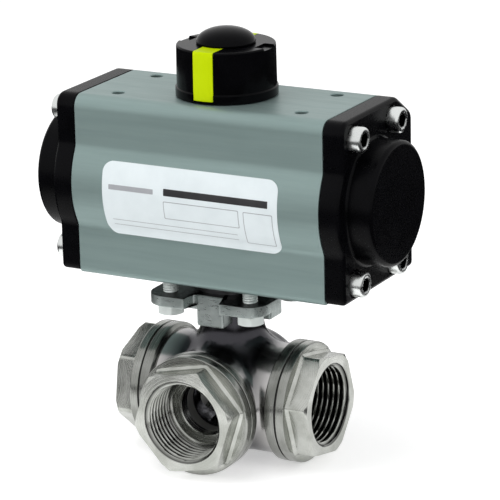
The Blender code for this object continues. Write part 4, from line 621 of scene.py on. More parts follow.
def cap_layers():
    """Layers of (distance from the stem, outline) from the hidden inner face to the middle of the boss."""
    shape = housing_outline(-35.3, 2.0)
    turn = np.radians([0, 18, 36, 54, 72, 90])
    edge = 1.6
    layers = [(CAP_BACK, shape * 0.0), (CAP_BACK, inset(shape, 0.3)), (54.6, shape), (56.0, shape)]
    layers += [(CAP_FACE - edge + edge * math.sin(a), inset(shape, edge - edge * math.cos(a))) for a in turn]
    foot = 1.2
    layers += [(CAP_FACE + foot - foot * math.cos(a), circle_beside(shape, BOSS + foot - foot * math.sin(a)))
               for a in turn]
    top = 1.8
    layers += [(BOSS_FACE - top + top * math.sin(a), circle_beside(shape, BOSS - top + top * math.cos(a)))
               for a in turn]
    layers += [(BOSS_FACE, circle_beside(shape, 12.0)), (BOSS_FACE, shape * 0.0)]
    return layers


SIDES = (("left", -1.0), ("right", 1.0))
SCREW_PLACES = [(sy * 16.5, sz * 28.3) for sy, sz in SIGNS]
spot = turned([(0.0, 5.0), (SPOT_RADIUS, 5.0), (SPOT_RADIUS, 0.0), (0.0, 0.0)], 64)
for side, sign in SIDES:
    cap = mesh_of("end cap", stations([(sign * x, flat) for x, flat in cap_layers()]))
    spots = [toward(spot, side, (sign * SPOT_FACE, y, BORE_Z + z)) for y, z in SCREW_PLACES]
    cap = carve(cap, *[mesh_of("spot face", loops) for loops in spots])
    piece("end_plate_" + side, cap, BLACK_COAT, "housing", "end_cap_" + side)
print("end cap faces:", len(cap.polygons))

# %% [markdown]
# ## Screws and nuts
# A socket head screw has a smooth head, rounded at the rim, and a six-sided socket. A polar formula gives a
# hexagon's radius at any angle: the distance to the nearest flat divided by the cosine of the angle to that
# flat's normal. A high power mean of the six flats does the same with corners that are slightly rounded,
# which is how real hexagons come off a machine.

# %% Hexagons, screws and bolts


def hexagon(flats, turn, angle, power=70.0):
    """Radius of a hexagon at each angle.

    The sum over its three axes of (|cosine| / (flats / 2)) to a power, all to minus one over the power.
    """
    axes = np.radians(turn + np.array([0.0, 60.0, 120.0]))
    waves = np.abs(np.cos(angle[:, None] - axes)) / (flats / 2)
    return (waves ** power).sum(1) ** (-1.0 / power)


def bevelled_hexagon(flats, angle):
    """A hexagon's radius at each angle, the circle that the bevel leaves, and how far the corners drop."""
    shape = hexagon(flats, 30.0, angle)
    face = flats / 2 * 0.96
    return shape, face, np.maximum(shape - face, 0.0) * 0.5


def helix_wave(angle, along, pitch):
    """A thread's wave from 1 to 0 and back: a triangle wave of (distance along / pitch - turn)."""
    return np.abs(((along / pitch - angle / (2 * math.pi)) % 1.0) * 2 - 1)


def socket_screw(head, height, thread, reach, socket, depth, steps=96):
    """Loops of a socket head screw: shank, head with a rounded rim, lead-in and socket, pole to pole."""
    rim = head / 2
    hex_radius = hexagon(socket, 0.0, full_turn(steps))
    lead = socket / math.sqrt(3) + 0.25
    rows = [(0.0, -reach), (thread / 2 - 0.4, -reach), (thread / 2, -reach + 0.4), (thread / 2, 0.0),
            (rim - 0.3, 0.0), (rim - 0.02, 0.3), (rim, 0.9), (rim, height - 1.1), (rim - 0.11, height - 0.6),
            (rim - 0.4, height - 0.2), (rim - 0.8, height - 0.03), (rim - 1.2, height), (lead, height),
            (hex_radius + 0.02, height - 0.3), (hex_radius, height - 0.4), (hex_radius, height - depth),
            (0.0, height - depth - 0.6)]
    return columns(*spread(rows, steps))


def hexagon_bolt(flats, head, thread, reach, steps=96, pitch=1.0):
    """Loops of a hexagon bolt, head down: bevelled head, washer face and a shank with rolled threads."""
    angle = full_turn(steps)
    shape, face, drop = bevelled_hexagon(flats, angle)
    ridge = 0.28
    rows = [(0.0, -head), (face - 0.6, -head), (face, -head), (shape, -head + drop),
            (shape, -0.35 - drop * 0.4), (face, -0.02), (face, 0.0), (thread / 2, 0.0), (thread / 2, 0.6)]
    turns = np.linspace(0.6, reach - 0.6, int((reach - 1.2) / pitch * 8))
    rows += [(thread / 2 - ridge + ridge * helix_wave(angle, z, pitch), z) for z in turns]
    rows += [(thread / 2 - 0.3, reach - 0.3), (thread / 2 - 0.7, reach), (0.0, reach)]
    return columns(*spread(rows, steps))


SCREW_SEAT = 61.3


def painted_socket_shade(points, y, z):
    """Painted shade inside a screw's socket: whatever lies below the rim and nearer the axis than the
    corners.
    """
    return (np.hypot(points[:, 1] - y, points[:, 2] - z) < 3.0) & (np.abs(points[:, 0]) < SCREW_SEAT + 5.8)


screw_loops = socket_screw(head=10.0, height=6.0, thread=6.0, reach=16.0, socket=5.0, depth=3.0)
for side, sign in SIDES:
    for number, (y, z) in enumerate(SCREW_PLACES, 1):
        screw_mesh = mesh_of("socket screw", toward(screw_loops, side, (sign * SCREW_SEAT, y, BORE_Z + z)))
        paint_shade_and_reflection(screw_mesh, lambda points: painted_socket_shade(points, y, BORE_Z + z))
        piece(f"socket_screw_{side}_{number}", screw_mesh, BRIGHT, "housing", f"cap_screw_{side}_{number}",
              weighted=False)
print("socket screws:", len(SIDES) * len(SCREW_PLACES), "of", len(screw_mesh.polygons), "faces each")

# %% [markdown]
# ## The position indicator
# The black drum turns with the stem. It is a turned shape with a drip flange at its foot and a barely
# tapered side. Two shallow slots, left and right on its top, stand empty. The bright insert lies in a groove
# that runs up the front, over the top and down the rear, so at rest it is in line with the front port.

# %% The drum and its insert
DRUM_TOP = BODY_TOP + 20.4
DRUM_FLOOR = DRUM_TOP - 1.6
drum_profile = fillet([
    (0.0, BODY_TOP + 0.3), (20.0, BODY_TOP + 0.3), (20.0, BODY_TOP + 3.7), (19.5, BODY_TOP + 3.9),
    (19.3, DRUM_TOP), (10.4, DRUM_TOP), (10.4, DRUM_FLOOR), (0.0, DRUM_FLOOR)],
    [0.2, 0.3, 0.3, 0.7, 0.2, 0.2], 6)
drum = mesh_of("drum", turned(drum_profile, 192))
slots = [rounded_slab(12.0, 8.5, -0.9, 4.0, 0.5, 0.1) + (sx * 20.5, 0.0, DRUM_TOP) for sx in (-1, 1)]
grooves = [rounded_slab(9.0, 4.0, 1.1, 25.0, 0.2, 0.1) + (0.0, sy * 19.9, BODY_TOP) for sy in (-1, 1)]
grooves.append(rounded_slab(9.0, 43.8, -1.5, 4.0, 0.2, 0.1) + (0.0, 0.0, DRUM_TOP))
drum = carve(drum, *[mesh_of("slot", cutter) for cutter in slots + grooves])
piece("indicator_drum", drum, BLACK_PLASTIC, "drive", "indicator_cap")


def insert_strip(width, lift):
    """The insert: across its width it is straight, and along its length it follows the drum's side and top.

    At half width w the drum's side stands back at the square root of (radius squared - w squared).
    """
    across = np.linspace(-width / 2, width / 2, 25)
    radius = np.array([19.5, 19.5, 19.42, 19.33, 19.28, 19.1, 18.8, 18.0])
    height = np.array([1.3, 4.0, 11.0, 18.6, 19.6, 20.1, 20.33, 20.4]) + BODY_TOP
    push = np.array([1.0, 1.0, 1.0, 1.0, 1.0, 0.7, 0.3, 0.0]) * lift
    rise = np.array([0.0, 0.0, 0.0, 0.0, 0.1, 0.7, 1.0, 1.0]) * lift
    reach = np.sqrt((radius + push)[:, None] ** 2 - across ** 2)
    level = np.repeat((height + rise)[:, None], len(across), 1)
    front = np.stack([np.broadcast_to(across, reach.shape), -reach, level], -1)
    rear = front[::-1] * (1.0, -1.0, 1.0)
    outer = np.concatenate([front, rear])
    inner = outer * (1.0, 0.9, 1.0) - (0.0, 0.0, 1.0)
    inner[:4, :, 2] = outer[:4, :, 2]
    inner[-4:, :, 2] = outer[-4:, :, 2]
    loop = np.concatenate([outer, inner[:, ::-1]], 1)
    middle_first = loop[:1].mean(1, keepdims=True) + loop[:1] * 0.0
    middle_last = loop[-1:].mean(1, keepdims=True) + loop[-1:] * 0.0
    return np.concatenate([middle_first, loop, middle_last])


strip = mesh_of("insert", insert_strip(8.5, 0.05))
piece("indicator_insert", strip, YELLOW_PLASTIC, "drive", "indicator_strip", sharp=30.0)
print("drum and insert:", len(drum.polygons), "and", len(strip.polygons), "faces")

# %% [markdown]
# The knob is a plug over the fixing screw. It stands on the drum with a small round edge, and above that it
# is a low dome: a quarter of an ellipse from the widest circle to the top.

# %% The knob
dome_turn = np.radians(np.linspace(0.0, 90.0, 28))
dome = np.stack([11.6 * np.cos(dome_turn), DRUM_TOP + 0.5 + 5.7 * np.sin(dome_turn)], -1)
knob_profile = np.concatenate([
    [(0.0, DRUM_TOP - 1.3), (9.5, DRUM_TOP - 1.3), (9.5, DRUM_TOP + 0.03), (11.3, DRUM_TOP + 0.03),
     (11.5, DRUM_TOP + 0.2)], dome])
knob = mesh_of("knob", turned(knob_profile, 160))
piece("indicator_plug", knob, BLACK_PLASTIC, "drive", "indicator_knob", sharp=60.0)
print("knob faces:", len(knob.polygons))

# %% [markdown]
# ## The front plate
# A thin film plate is stuck round the bulge and runs a little way over the hollow below it. A film doesn't
# stretch, so a point on it is a distance along the cylinder and a distance round the outline, and a function
# lays that second distance on the bulge, then on the hollow arc and then on the flat. It is a blank plate:
# two bars, two thin lines and two empty boxes for entries.

# %% The front plate


def wrapped(flat):
    """Flat points (along the cylinder, distance up from its middle, lift) laid on the front of the housing.

    Up to BULGE * MEET the angle is the distance / BULGE. On the hollow arc it falls from MEET to nothing,
    at 1 / BLEND per millimetre, and on the flat it stays nothing while the height grows. The surface's
    normal leans by that angle everywhere.
    """
    side = np.sign(flat[..., 1])
    way = np.abs(flat[..., 1])
    past = way - BULGE * MEET
    lean = np.where(past < 0, way / BULGE, np.maximum(MEET - past / BLEND, 0.0))
    out = np.where(past < 0, BULGE * np.cos(lean), BLEND_Y - BLEND * np.cos(lean))
    up = np.where(past < 0, BULGE * np.sin(lean), BLEND_Z - BLEND * np.sin(lean))
    up = up + np.maximum(past - BLEND * MEET, 0.0)
    lift = flat[..., 2]
    height = BORE_Z + side * (up + lift * np.sin(lean))
    return np.stack([flat[..., 0], -out - lift * np.cos(lean), height], -1)


def plate_area(left, right, low, high, corner, lift, thick=0.12, rows=36):
    """A rounded rectangle wrapped on the bulge: rows across it, each row as wide as the rectangle is there.

    Near the top and the bottom the row narrows by corner minus the square root of (corner squared minus depth
    squared).
    """
    v = np.concatenate([low + corner * (1 - np.cos(np.linspace(0, math.pi / 2, 9))),
                        np.linspace(low + corner, high - corner, rows)[1:-1],
                        high - corner * (1 - np.cos(np.linspace(math.pi / 2, 0, 9)))])
    deep = np.maximum(np.maximum(low + corner - v, v - (high - corner)), 0.0)
    narrow = corner - np.sqrt(np.maximum(corner ** 2 - deep ** 2, 0.0))
    a, b = left + narrow, right - narrow
    flat = np.stack([
        np.stack([a, v, v * 0 + lift], -1), np.stack([b, v, v * 0 + lift], -1),
        np.stack([b, v, v * 0 + lift - thick], -1), np.stack([a, v, v * 0 + lift - thick], -1)], 1)
    return wrapped(flat)


PRINT_LIFT = 0.165
BOX_LIFT = 0.18
areas = [
    ("plate_film", PLATE, (-39.9, 36.7, -18.4, 12.4, 4.5, 0.14)),
    ("plate_bar_long", PLATE_DARK, (-12.6, 32.6, 1.2, 4.0, 0.25, PRINT_LIFT)),
    ("plate_bar_short", PLATE_GREY, (-37.0, -17.2, 1.2, 3.2, 0.25, PRINT_LIFT)),
    ("plate_box_edge", PLATE_GREY, (-12.8, 20.0, -8.3, -1.0, 0.5, PRINT_LIFT)),
    ("plate_box", PLATE, (-12.5, 19.7, -8.0, -1.3, 0.4, BOX_LIFT)),
    ("plate_square_edge", PLATE_GREY, (22.0, 34.6, -15.0, -1.2, 0.5, PRINT_LIFT)),
    ("plate_square", PLATE, (22.3, 34.3, -14.7, -1.5, 0.4, BOX_LIFT)),
    ("plate_line_upper", PLATE_GREY, (-36.5, 18.5, -11.6, -11.35, 0.05, PRINT_LIFT)),
    ("plate_line_lower", PLATE_GREY, (-36.5, 18.5, -14.0, -13.75, 0.05, PRINT_LIFT)),
]
for name, material, numbers in areas:
    piece(name, mesh_of(name, plate_area(*numbers)), material, "housing", weighted=False)
print("plate pieces:", len(areas))

# %% [markdown]
# ## The valve's casting
# The body is cast: a barrel across, a branch to the front, a rounded rear and a neck, which run into each
# other with soft fillets. A formula for the distance to each form, blended with a smooth minimum, gives
# exactly that look. Seen from the middle of the ball every outward line leaves the casting once, so the
# surface is a radius for each direction: a cube's six faces give the directions, and each line is walked in
# from outside by most of the distance that the formula reports, until it touches.

# %% The casting's formula


def smooth_min(a, b, blend):
    """The lesser of two distances, with the crease between them filled over the blend's width."""
    share = np.clip(0.5 + 0.5 * (b - a) / blend, 0.0, 1.0)
    return b + (a - b) * share - blend * share * (1.0 - share)


def rounded_cylinder(radial, axial, radius, length, corner):
    """Distance to a cylinder: radial and axial excess past the inner box, less the corner's radius."""
    out = np.stack([radial - radius + corner, axial - length + corner], -1)
    return np.linalg.norm(np.maximum(out, 0.0), axis=-1) + np.minimum(out.max(-1), 0.0) - corner


def casting_distance(p):
    """Distance to the casting: barrel, front branch and rear dome blended tightly, and the neck widely."""
    x, y, z = p[..., 0], p[..., 1], p[..., 2]
    barrel = rounded_cylinder(np.hypot(y, z), np.abs(x), radius=22.0, length=26.6, corner=0.3)
    branch = rounded_cylinder(np.hypot(x, z), np.abs(y + 13.3), radius=21.6, length=13.3, corner=0.3)
    rear = rounded_cylinder(np.hypot(x, z), np.abs(y - 8.0), radius=21.5, length=17.5, corner=8.0)
    neck = rounded_cylinder(np.hypot(x, y), np.abs(z - 20.0), radius=12.5, length=20.3, corner=0.2)
    body = smooth_min(smooth_min(barrel, branch, blend=3.0), rear, blend=4.0)
    return smooth_min(body, neck, blend=9.0)


def cube_directions(count):
    """Unit directions through a grid on each face of a cube, evened by a tangent."""
    side = np.tan(np.linspace(-math.pi / 4, math.pi / 4, count))
    u, v = np.meshgrid(side, side, indexing="ij")
    one = np.ones_like(u)
    faces = [(one, u, v), (-one, -u, v), (-u, one, v), (u, -one, v), (u, v, one), (-u, v, -one)]
    directions = np.stack([np.stack(face, -1) for face in faces])
    return directions / np.linalg.norm(directions, axis=-1, keepdims=True)


# %% The casting
GRID = 110
START_RADIUS = 62.0
WALK_STEPS = 80
STEP_SHARE = 0.8
rays = cube_directions(GRID)
reach = np.full(rays.shape[:-1], START_RADIUS)
for _ in range(WALK_STEPS):
    reach = reach - casting_distance(rays * reach[..., None]) * STEP_SHARE
skin_points = (rays * reach[..., None]).reshape(-1, 3)
cell = np.arange(GRID * GRID).reshape(GRID, GRID)
quads = np.stack([cell[:-1, :-1], cell[1:, :-1], cell[1:, 1:], cell[:-1, 1:]], -1).reshape(-1, 4)
quads = np.concatenate([quads + k * GRID * GRID for k in range(6)])
casting = bpy.data.meshes.new("casting")
casting.from_pydata(skin_points * MM, [], quads)
clean = bmesh.new()
clean.from_mesh(casting)
bmesh.ops.remove_doubles(clean, verts=clean.verts, dist=1e-6)
bmesh.ops.recalc_face_normals(clean, faces=clean.faces)
clean.to_mesh(casting)
clean.free()
side_bore = turned([(0.0, -40.0), (18.7, -40.0), (18.7, 40.0), (0.0, 40.0)])
front_bore = turned([(0.0, 0.0), (17.3, 0.0), (17.3, 40.0), (0.0, 40.0)])
tubes = [mesh_of("bore", toward(side_bore, "right")), mesh_of("bore", toward(front_bore, "front"))]
casting = carve(casting, *tubes, solver="MANIFOLD")
# Painted dark reflection: full over the middle of the casting and its neck, fading out towards the end rings.
paint_shade_and_reflection(casting, lambda p: 1.0 - (np.maximum(np.abs(p[:, 0]), -p[:, 1]) - 16.5) / 8.0)
piece("valve_casting", casting, CASTING, "housing", "valve_body", sharp=45.0, weighted=False)
print("casting faces:", len(casting.polygons))

# %% [markdown]
# Each branch ends in a turned ring, as wide as the port cap's collar, with a thin seam between the two. The
# ring is machined after casting, so it has a turned finish and fine edges.

# %% The casting's end rings
COLLAR = 24.1
PORTS = (("left", TURNED_X, 0), ("right", TURNED_X, 0), ("front", TURNED_Y, 1))
end_profile = fillet([
    (18.9, 25.2), (22.6, 25.2), (COLLAR, 26.2), (COLLAR, 30.1), (18.9, 30.1), (18.9, 25.2)],
    [0.6, 0.5, 0.35, 0.1], 5)
seam = fillet([(19.0, 30.15), (23.5, 30.15), (23.5, 30.65), (19.0, 30.65), (19.0, 30.15)], 0.05, 3)
for side, material, _ in PORTS:
    ring_mesh = mesh_of("end ring", toward(turned(end_profile, 160), side))
    # Painted dark reflection, half strength all over the ring.
    paint_shade_and_reflection(ring_mesh, lambda points: np.full(len(points), 0.5))
    piece("casting_ring_" + side, ring_mesh, material, "housing", weighted=False)
    piece("seam_ring_" + side, mesh_of("seam ring", toward(turned(seam, 128), side)), RUBBER, "housing",
          "port_seal_" + side, weighted=False)
print("end rings:", len(PORTS), "of", len(ring_mesh.polygons), "faces each")

# %% [markdown]
# ## The port caps
# A port cap is turned from bar with a hexagon left on it. Going round, the hexagon's radius changes and so
# does the place where the bevelled end meets it: the bevel is a cone, and each corner leaves the cone at the
# height where the cone is as wide as the corner. The pipe thread inside is a real helix: its radius is a
# wave of the distance along the axis, shifted by one pitch per turn.

# %% The port caps
PITCH = 2.309
FACE = 43.0
THREAD_END = 25.0
THREAD_FADE = 25.4
CREST = 15.15
THREAD_DEPTH = 1.42
MOUTH = 16.75
FACE_CIRCLE = 20.6
FLOW_BORE = 10.5
CAP_INNER = 19.8


def pipe_thread(angle, s):
    """Radius of the internal thread at each angle and distance along: a rounded tooth between crest and root.

    The tooth is the helix's wave, clipped at crest and root and rounded. It fades in the last turn, and a
    lead-in cone opens the mouth.
    """
    tooth = np.clip((helix_wave(angle[:, None], s, PITCH) - 0.14) / 0.72, 0.0, 1.0)
    tooth = tooth * tooth * (3 - 2 * tooth)
    fade = np.clip((s - THREAD_FADE) / 2.0, 0.0, 1.0)
    mouth = MOUTH - (FACE - s) * 0.95
    return np.maximum(CREST + THREAD_DEPTH * tooth * fade, mouth)


def port_cap(turn, steps=240):
    """Loops of a port cap: from the flow bore over the collar and the hexagon, and back down the thread."""
    angle = full_turn(steps)
    shape = hexagon(38.5, turn, angle, 90.0)
    cone = np.maximum(shape - FACE_CIRCLE, 0.0) / 1.665
    outside = [(FLOW_BORE, CAP_INNER), (18.3, CAP_INNER), (18.5, 20.1), (18.5, 30.7), (COLLAR, 30.7),
               (COLLAR, 34.3), (shape + 1.0, 34.3), (shape, 35.4), (shape, FACE - cone - 0.12),
               (np.minimum(shape, FACE_CIRCLE), FACE), (MOUTH, FACE)]
    outer = fillet(np.stack(spread(outside, steps), -1), [0.2, 0.2, 0.2, 0.35, 0.6, 0.5, 0.6, 0.25, 0.2], 4)
    along = np.arange(FACE, THREAD_END, -PITCH / 14)
    along = np.broadcast_to(along, (steps, len(along)))
    inner = np.stack([pipe_thread(angle, along), along], -1)
    step_in = [(CREST, THREAD_END), (14.6, 24.5), (10.9, 24.5), (FLOW_BORE, 24.1), (FLOW_BORE, CAP_INNER)]
    rows = np.concatenate([outer, inner[:, 1:], np.stack(spread(step_in, steps), -1)], 1)
    return columns(rows[..., 0], rows[..., 1])


HEX_TURNS = {"right": -11.0, "left": 39.0, "front": 42.0}


def painted_port_shade_and_reflection(points, axis):
    """Painted shade inside a port: more in the thread's roots than on its crests, and more with depth.

    The collar gets some painted dark reflection too.
    """
    along = np.abs(points[:, axis])
    radius = np.hypot(points[:, 2], points[:, 1 - axis])
    inside = (radius < MOUTH - 0.05) & (along < FACE - 0.3)
    collar = (radius > 22.5) & (along < 34.4)
    root = (radius - CREST) / THREAD_DEPTH
    deep = (FACE - along) / (FACE - THREAD_END)
    return 0.35 * collar + inside * (-0.15 + 1.1 * root + 0.6 * deep)


for side, material, axis in PORTS:
    cap_mesh = mesh_of("port cap", toward(port_cap(HEX_TURNS[side]), side), closed=True)
    paint_shade_and_reflection(cap_mesh, lambda points: painted_port_shade_and_reflection(points, axis))
    piece("threaded_cap_" + side, cap_mesh, material, "housing", "port_cap_" + side, sharp=30.0)
print("port cap faces:", len(cap_mesh.polygons))

# %% [markdown]
# ## The ball and its seats
# Through the ports one sees the ball and the polymer rings it turns between, which are evenly darkened by
# painted shade. The ball is a sphere with two bores that meet in its middle, open to the front and the left
# at rest. Each seat is a ring hollowed to the ball.

# %% The ball and its seats
BALL_RADIUS = 18.0
LEG_RADIUS = 10.0
HOLLOW_RADIUS = 18.3
latitude = np.radians(np.linspace(-90.0, 90.0, 65))
meridian = np.stack([np.cos(latitude), np.sin(latitude)], -1)
sphere = mesh_of("ball", turned(BALL_RADIUS * meridian, 128))
elbow = mesh_of("elbow", turned(9.97 * meridian, 64))
leg = turned([(0.0, 0.0), (LEG_RADIUS, 0.0), (LEG_RADIUS, 20.0), (0.0, 20.0)])
tongue = rounded_slab(7.1, 60.0, 13.8, 30.0, 0.2, 0.1)
ball = carve(sphere, mesh_of("leg", toward(leg, "front")), mesh_of("leg", toward(leg, "left")), elbow,
             mesh_of("slot", tongue), solver="MANIFOLD")
piece("l_port_ball", ball, BALL, "drive", "ball", weighted=False)
hollow_radius = np.linspace(12.4, FLOW_BORE, 10)
hollow = np.stack([hollow_radius, np.sqrt(HOLLOW_RADIUS ** 2 - hollow_radius ** 2)], -1)
seat_profile = np.concatenate([
    [(FLOW_BORE, 19.5), (15.0, 19.5), (15.2, 19.3), (15.2, 16.0)], hollow, [(FLOW_BORE, 19.5)]])
for side in ("left", "right", "front", "rear"):
    seat = mesh_of("seat", toward(turned(seat_profile), side))
    # Painted shade, at 0.7 all over each seat.
    paint_shade_and_reflection(seat, lambda points: np.full(len(points), 0.7))
    piece("seat_ring_" + side, seat, POLYMER, "housing", "ball_seat_" + side, weighted=False)
print("ball faces:", len(ball.polygons))

# %% [markdown]
# ## The mounting pad
# The pad on top of the neck is square with round bolt lobes and a notch in each side, and each notch shows
# the end of a block below. Four hexagon bolts come up through it into the actuator, and a spigot ring
# centres the two. The outline is drawn for one quarter and turned four times.

# %% The mounting pad


def pad_outline(count=320):
    """Points round the pad: a slightly softened notch and a corner rounded about its bolt, four times."""
    half, deep, wide, bolt = 25.5, 18.0, 7.6, 17.68
    corner = arc((bolt, bolt), half - bolt, 0, 90, 14)
    quarter = np.concatenate([[(half, -wide), (deep, -wide), (deep, wide), (half, wide)], corner])
    turns = [np.array([[math.cos(a), math.sin(a)], [-math.sin(a), math.cos(a)]])
             for a in np.radians([0, 90, 180, 270])]
    points = evened(np.concatenate([quarter @ turn for turn in turns]), count)[0]
    return 0.25 * np.roll(points, 1, 0) + 0.5 * points + 0.25 * np.roll(points, -1, 0)


PAD_BOTTOM = 39.9
BLOCK_TOP = 44.0
flat_pad = pad_outline()
pad_layers = [
    (PAD_BOTTOM, flat_pad * 0.0), (PAD_BOTTOM, inset(flat_pad, 0.5)), (40.05, inset(flat_pad, 0.15)),
    (40.4, flat_pad), (44.0, flat_pad), (44.3, inset(flat_pad, 0.12)), (PAD_TOP, inset(flat_pad, 0.4)),
    (PAD_TOP, flat_pad * 0.0)]
pad_loops = np.stack([np.concatenate([flat, np.full((len(flat), 1), z)], 1) for z, flat in pad_layers])
pad = mesh_of("pad", pad_loops)
# Painted shade on the pad's top face, in the gap under the actuator.
paint_shade_and_reflection(pad, lambda points: points[:, 2] > 44.2)
piece("neck_pad", pad, MILLED, "housing")
for name, width, length, low in (("neck_block", 11.9, 37.0, 31.6), ("neck_block_side", 39.4, 10.0, 33.2)):
    block = toward(rounded_slab(width, length, 0.0, BLOCK_TOP - low, 1.0, 0.9), "down", (0.0, 0.0, BLOCK_TOP))
    piece(name, mesh_of("block", block), MILLED, "housing")
spigot = fillet([(12.0, 43.4), (15.0, 43.4), (15.0, 50.9), (12.0, 50.9), (12.0, 43.4)], 0.3, 3)
# The spigot ring takes the dark spring steel finish as painted shade, for the gap under the actuator.
piece("spigot_ring", mesh_of("spigot ring", turned(spigot)), SPRING_STEEL_AND_SHADE, "housing", "centring_ring")
BOLT_PLACE = 25.0 / math.sqrt(2)
BOLT_SEAT = 39.6
bolt_loops = hexagon_bolt(flats=10.0, head=4.0, thread=6.0, reach=16.8)
for number, (sx, sy) in enumerate(SIGNS, 1):
    bolt = mesh_of("bolt", bolt_loops + (sx * BOLT_PLACE, sy * BOLT_PLACE, BOLT_SEAT))
    piece(f"hexagon_bolt_{number}", bolt, ZINC, "housing", f"mount_bolt_{number}", weighted=False)
print("pad faces:", len(pad.polygons), "bolts:", len(SIGNS))

# %% [markdown]
# ## The stop screws
# Two set screws through the rear wall end the stroke. Each has a lock nut. They use the same formulas as the
# other screws, with the nut's two faces bevelled to a circle.

# %% The stop screws


def lock_nut(flats, height, thread, steps=96):
    """Loops of a nut, closed through its bore, with both faces bevelled."""
    shape, face, drop = bevelled_hexagon(flats, full_turn(steps))
    rows = [(thread / 2, 0.0), (face, 0.0), (shape, drop), (shape, height - drop), (face, height),
            (thread / 2 + 0.4, height), (thread / 2, height - 0.4)]
    return columns(*spread(rows, steps))


def set_screw(thread=6.0, pitch=1.0, ridge=0.25, steps=72):
    """Loops of a set screw: cone point, plain shank, thread where it shows, and a socket in its end."""
    angle = full_turn(steps)
    rim = thread / 2
    socket = hexagon(3.0, 0.0, angle)
    rows = [(0.0, 4.3), (2.0, 4.3), (rim, 5.3), (rim, 34.0)]
    rows += [(rim - ridge + ridge * helix_wave(angle, z, pitch), z) for z in np.linspace(34.5, 42.2, 62)]
    rows += [(2.6, 42.9), (2.3, 43.0), (1.95, 43.0), (socket, 42.8), (socket, 40.0), (0.0, 39.6)]
    return columns(*spread(rows, steps))


STOP_X = 14.8
STOP_Z = BORE_Z + 13.25
NUT_SEAT = REAR_Y + 0.3
stop_loops = set_screw()
nut_loops = lock_nut(flats=10.0, height=5.0, thread=6.1)
for side, sign in SIDES:
    screw_mesh = mesh_of("set screw", toward(stop_loops, "rear", (sign * STOP_X, 0.0, STOP_Z)))
    piece("set_screw_" + side, screw_mesh, BRIGHT, "housing", "stop_screw_" + side, weighted=False)
    nut = mesh_of("lock nut", toward(nut_loops, "rear", (sign * STOP_X, NUT_SEAT, STOP_Z)), closed=True)
    piece("lock_nut_" + side, nut, BRIGHT, "housing", "stop_nut_" + side, weighted=False)
print("set screw faces:", len(screw_mesh.polygons))

# %% [markdown]
# ## The pieces inside
# The pistons, the pinion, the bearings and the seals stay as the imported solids, because nothing shows them.
# They still get the finish that the real ones have, for anyone who opens the model.

# %% Finishes for the pieces inside
INSIDE = {
    "piston_left": DIE_CAST, "piston_right": DIE_CAST, "pinion": NICKEL, "stop_cam": NICKEL, "stem": TURNED_Z,
    "gland_ring": TURNED_Z, "snap_ring": SPRING_STEEL_AND_SHADE, "disc_spring": SPRING_STEEL_AND_SHADE, "thrust_washer": BRIGHT,
    "indicator_screw": BRIGHT, "stem_nut": BRIGHT}
KINDS = (
    ("_seal_", RUBBER), ("packing", POLYMER), ("bearing", POLYMER), ("guide", POLYMER), ("thrust", POLYMER))
shown = {name: node for name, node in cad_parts.items() if not node.hide_render}
for name, node in shown.items():
    material = INSIDE.get(name)
    if material is None:
        material = next((kind for word, kind in KINDS if word in name), NICKEL)
    node.data.materials.clear()
    node.data.materials.append(material)
print("pieces inside:", len(shown))

# %% [markdown]
# ## The studio
# The valve stands on a pale floor under soft light. What the camera sees of the floor is lifted to the
# background's white by a little glow of its own, which only camera, mirror and glass rays meet, so the soft
# shadow stays. The world is white for the same rays and dimmer as a source of light. Polished metal needs
# something dark to mirror as well, so photographers lay black card round it, out of the picture: here low
# cards that only mirror rays meet. Pale floor is left between them and the valve, but for one small card that
# comes nearer at the front left. The camera was fitted to the photograph: its direction, its roll and its
# long lens.

# %% The floor and the black card
FLOOR_GLOW = 0.45
FLOOR_GAP = 0.0002
CARD_LIFT = 0.0005
WHITE = (1.0, 1.0, 1.0, 1.0)


def plane(name, low, high, z):
    """A flat rectangle facing up."""
    corners = [(low[0], low[1], z), (high[0], low[1], z), (high[0], high[1], z), (low[0], high[1], z)]
    mesh = bpy.data.meshes.new(name)
    mesh.from_pydata(corners, [], [(0, 1, 2, 3)])
    item = bpy.data.objects.new(name, mesh)
    bpy.context.scene.collection.objects.link(item)
    return item


def plain_material(name, colour, roughness):
    """A matt studio surface, with its tree and its shader."""
    material = bpy.data.materials.new(name)
    material.use_nodes = True
    shader = material.node_tree.nodes["Principled BSDF"]
    shader.inputs["Base Color"].default_value = (*colour, 1.0)
    shader.inputs["Roughness"].default_value = roughness
    shader.inputs["Specular IOR Level"].default_value = 0.0
    return material, material.node_tree, shader


def seen_rays(tree):
    """The greatest of the three flags for camera, mirror and glass rays, as one output."""
    path = add(tree, "ShaderNodeLightPath")
    first = add(tree, "ShaderNodeMath", operation="MAXIMUM")
    both = add(tree, "ShaderNodeMath", operation="MAXIMUM")
    tree.links.new(path.outputs["Is Camera Ray"], first.inputs[0])
    tree.links.new(path.outputs["Is Glossy Ray"], first.inputs[1])
    tree.links.new(first.outputs[0], both.inputs[0])
    tree.links.new(path.outputs["Is Transmission Ray"], both.inputs[1])
    return both.outputs[0]


floor = plane("studio_floor", (-6.0, -6.0), (6.0, 6.0), FLOOR_Z * MM - FLOOR_GAP)
floor_material, tree, floor_shader = plain_material("pale floor", (0.9, 0.9, 0.9), 0.9)
glow = add(tree, "ShaderNodeMath", operation="MULTIPLY")
glow.inputs[1].default_value = FLOOR_GLOW
floor_shader.inputs["Emission Color"].default_value = WHITE
tree.links.new(seen_rays(tree), glow.inputs[0])
tree.links.new(glow.outputs[0], floor_shader.inputs["Emission Strength"])
floor.data.materials.append(floor_material)
card_material = plain_material("black card", (0.015, 0.015, 0.016), 0.9)[0]


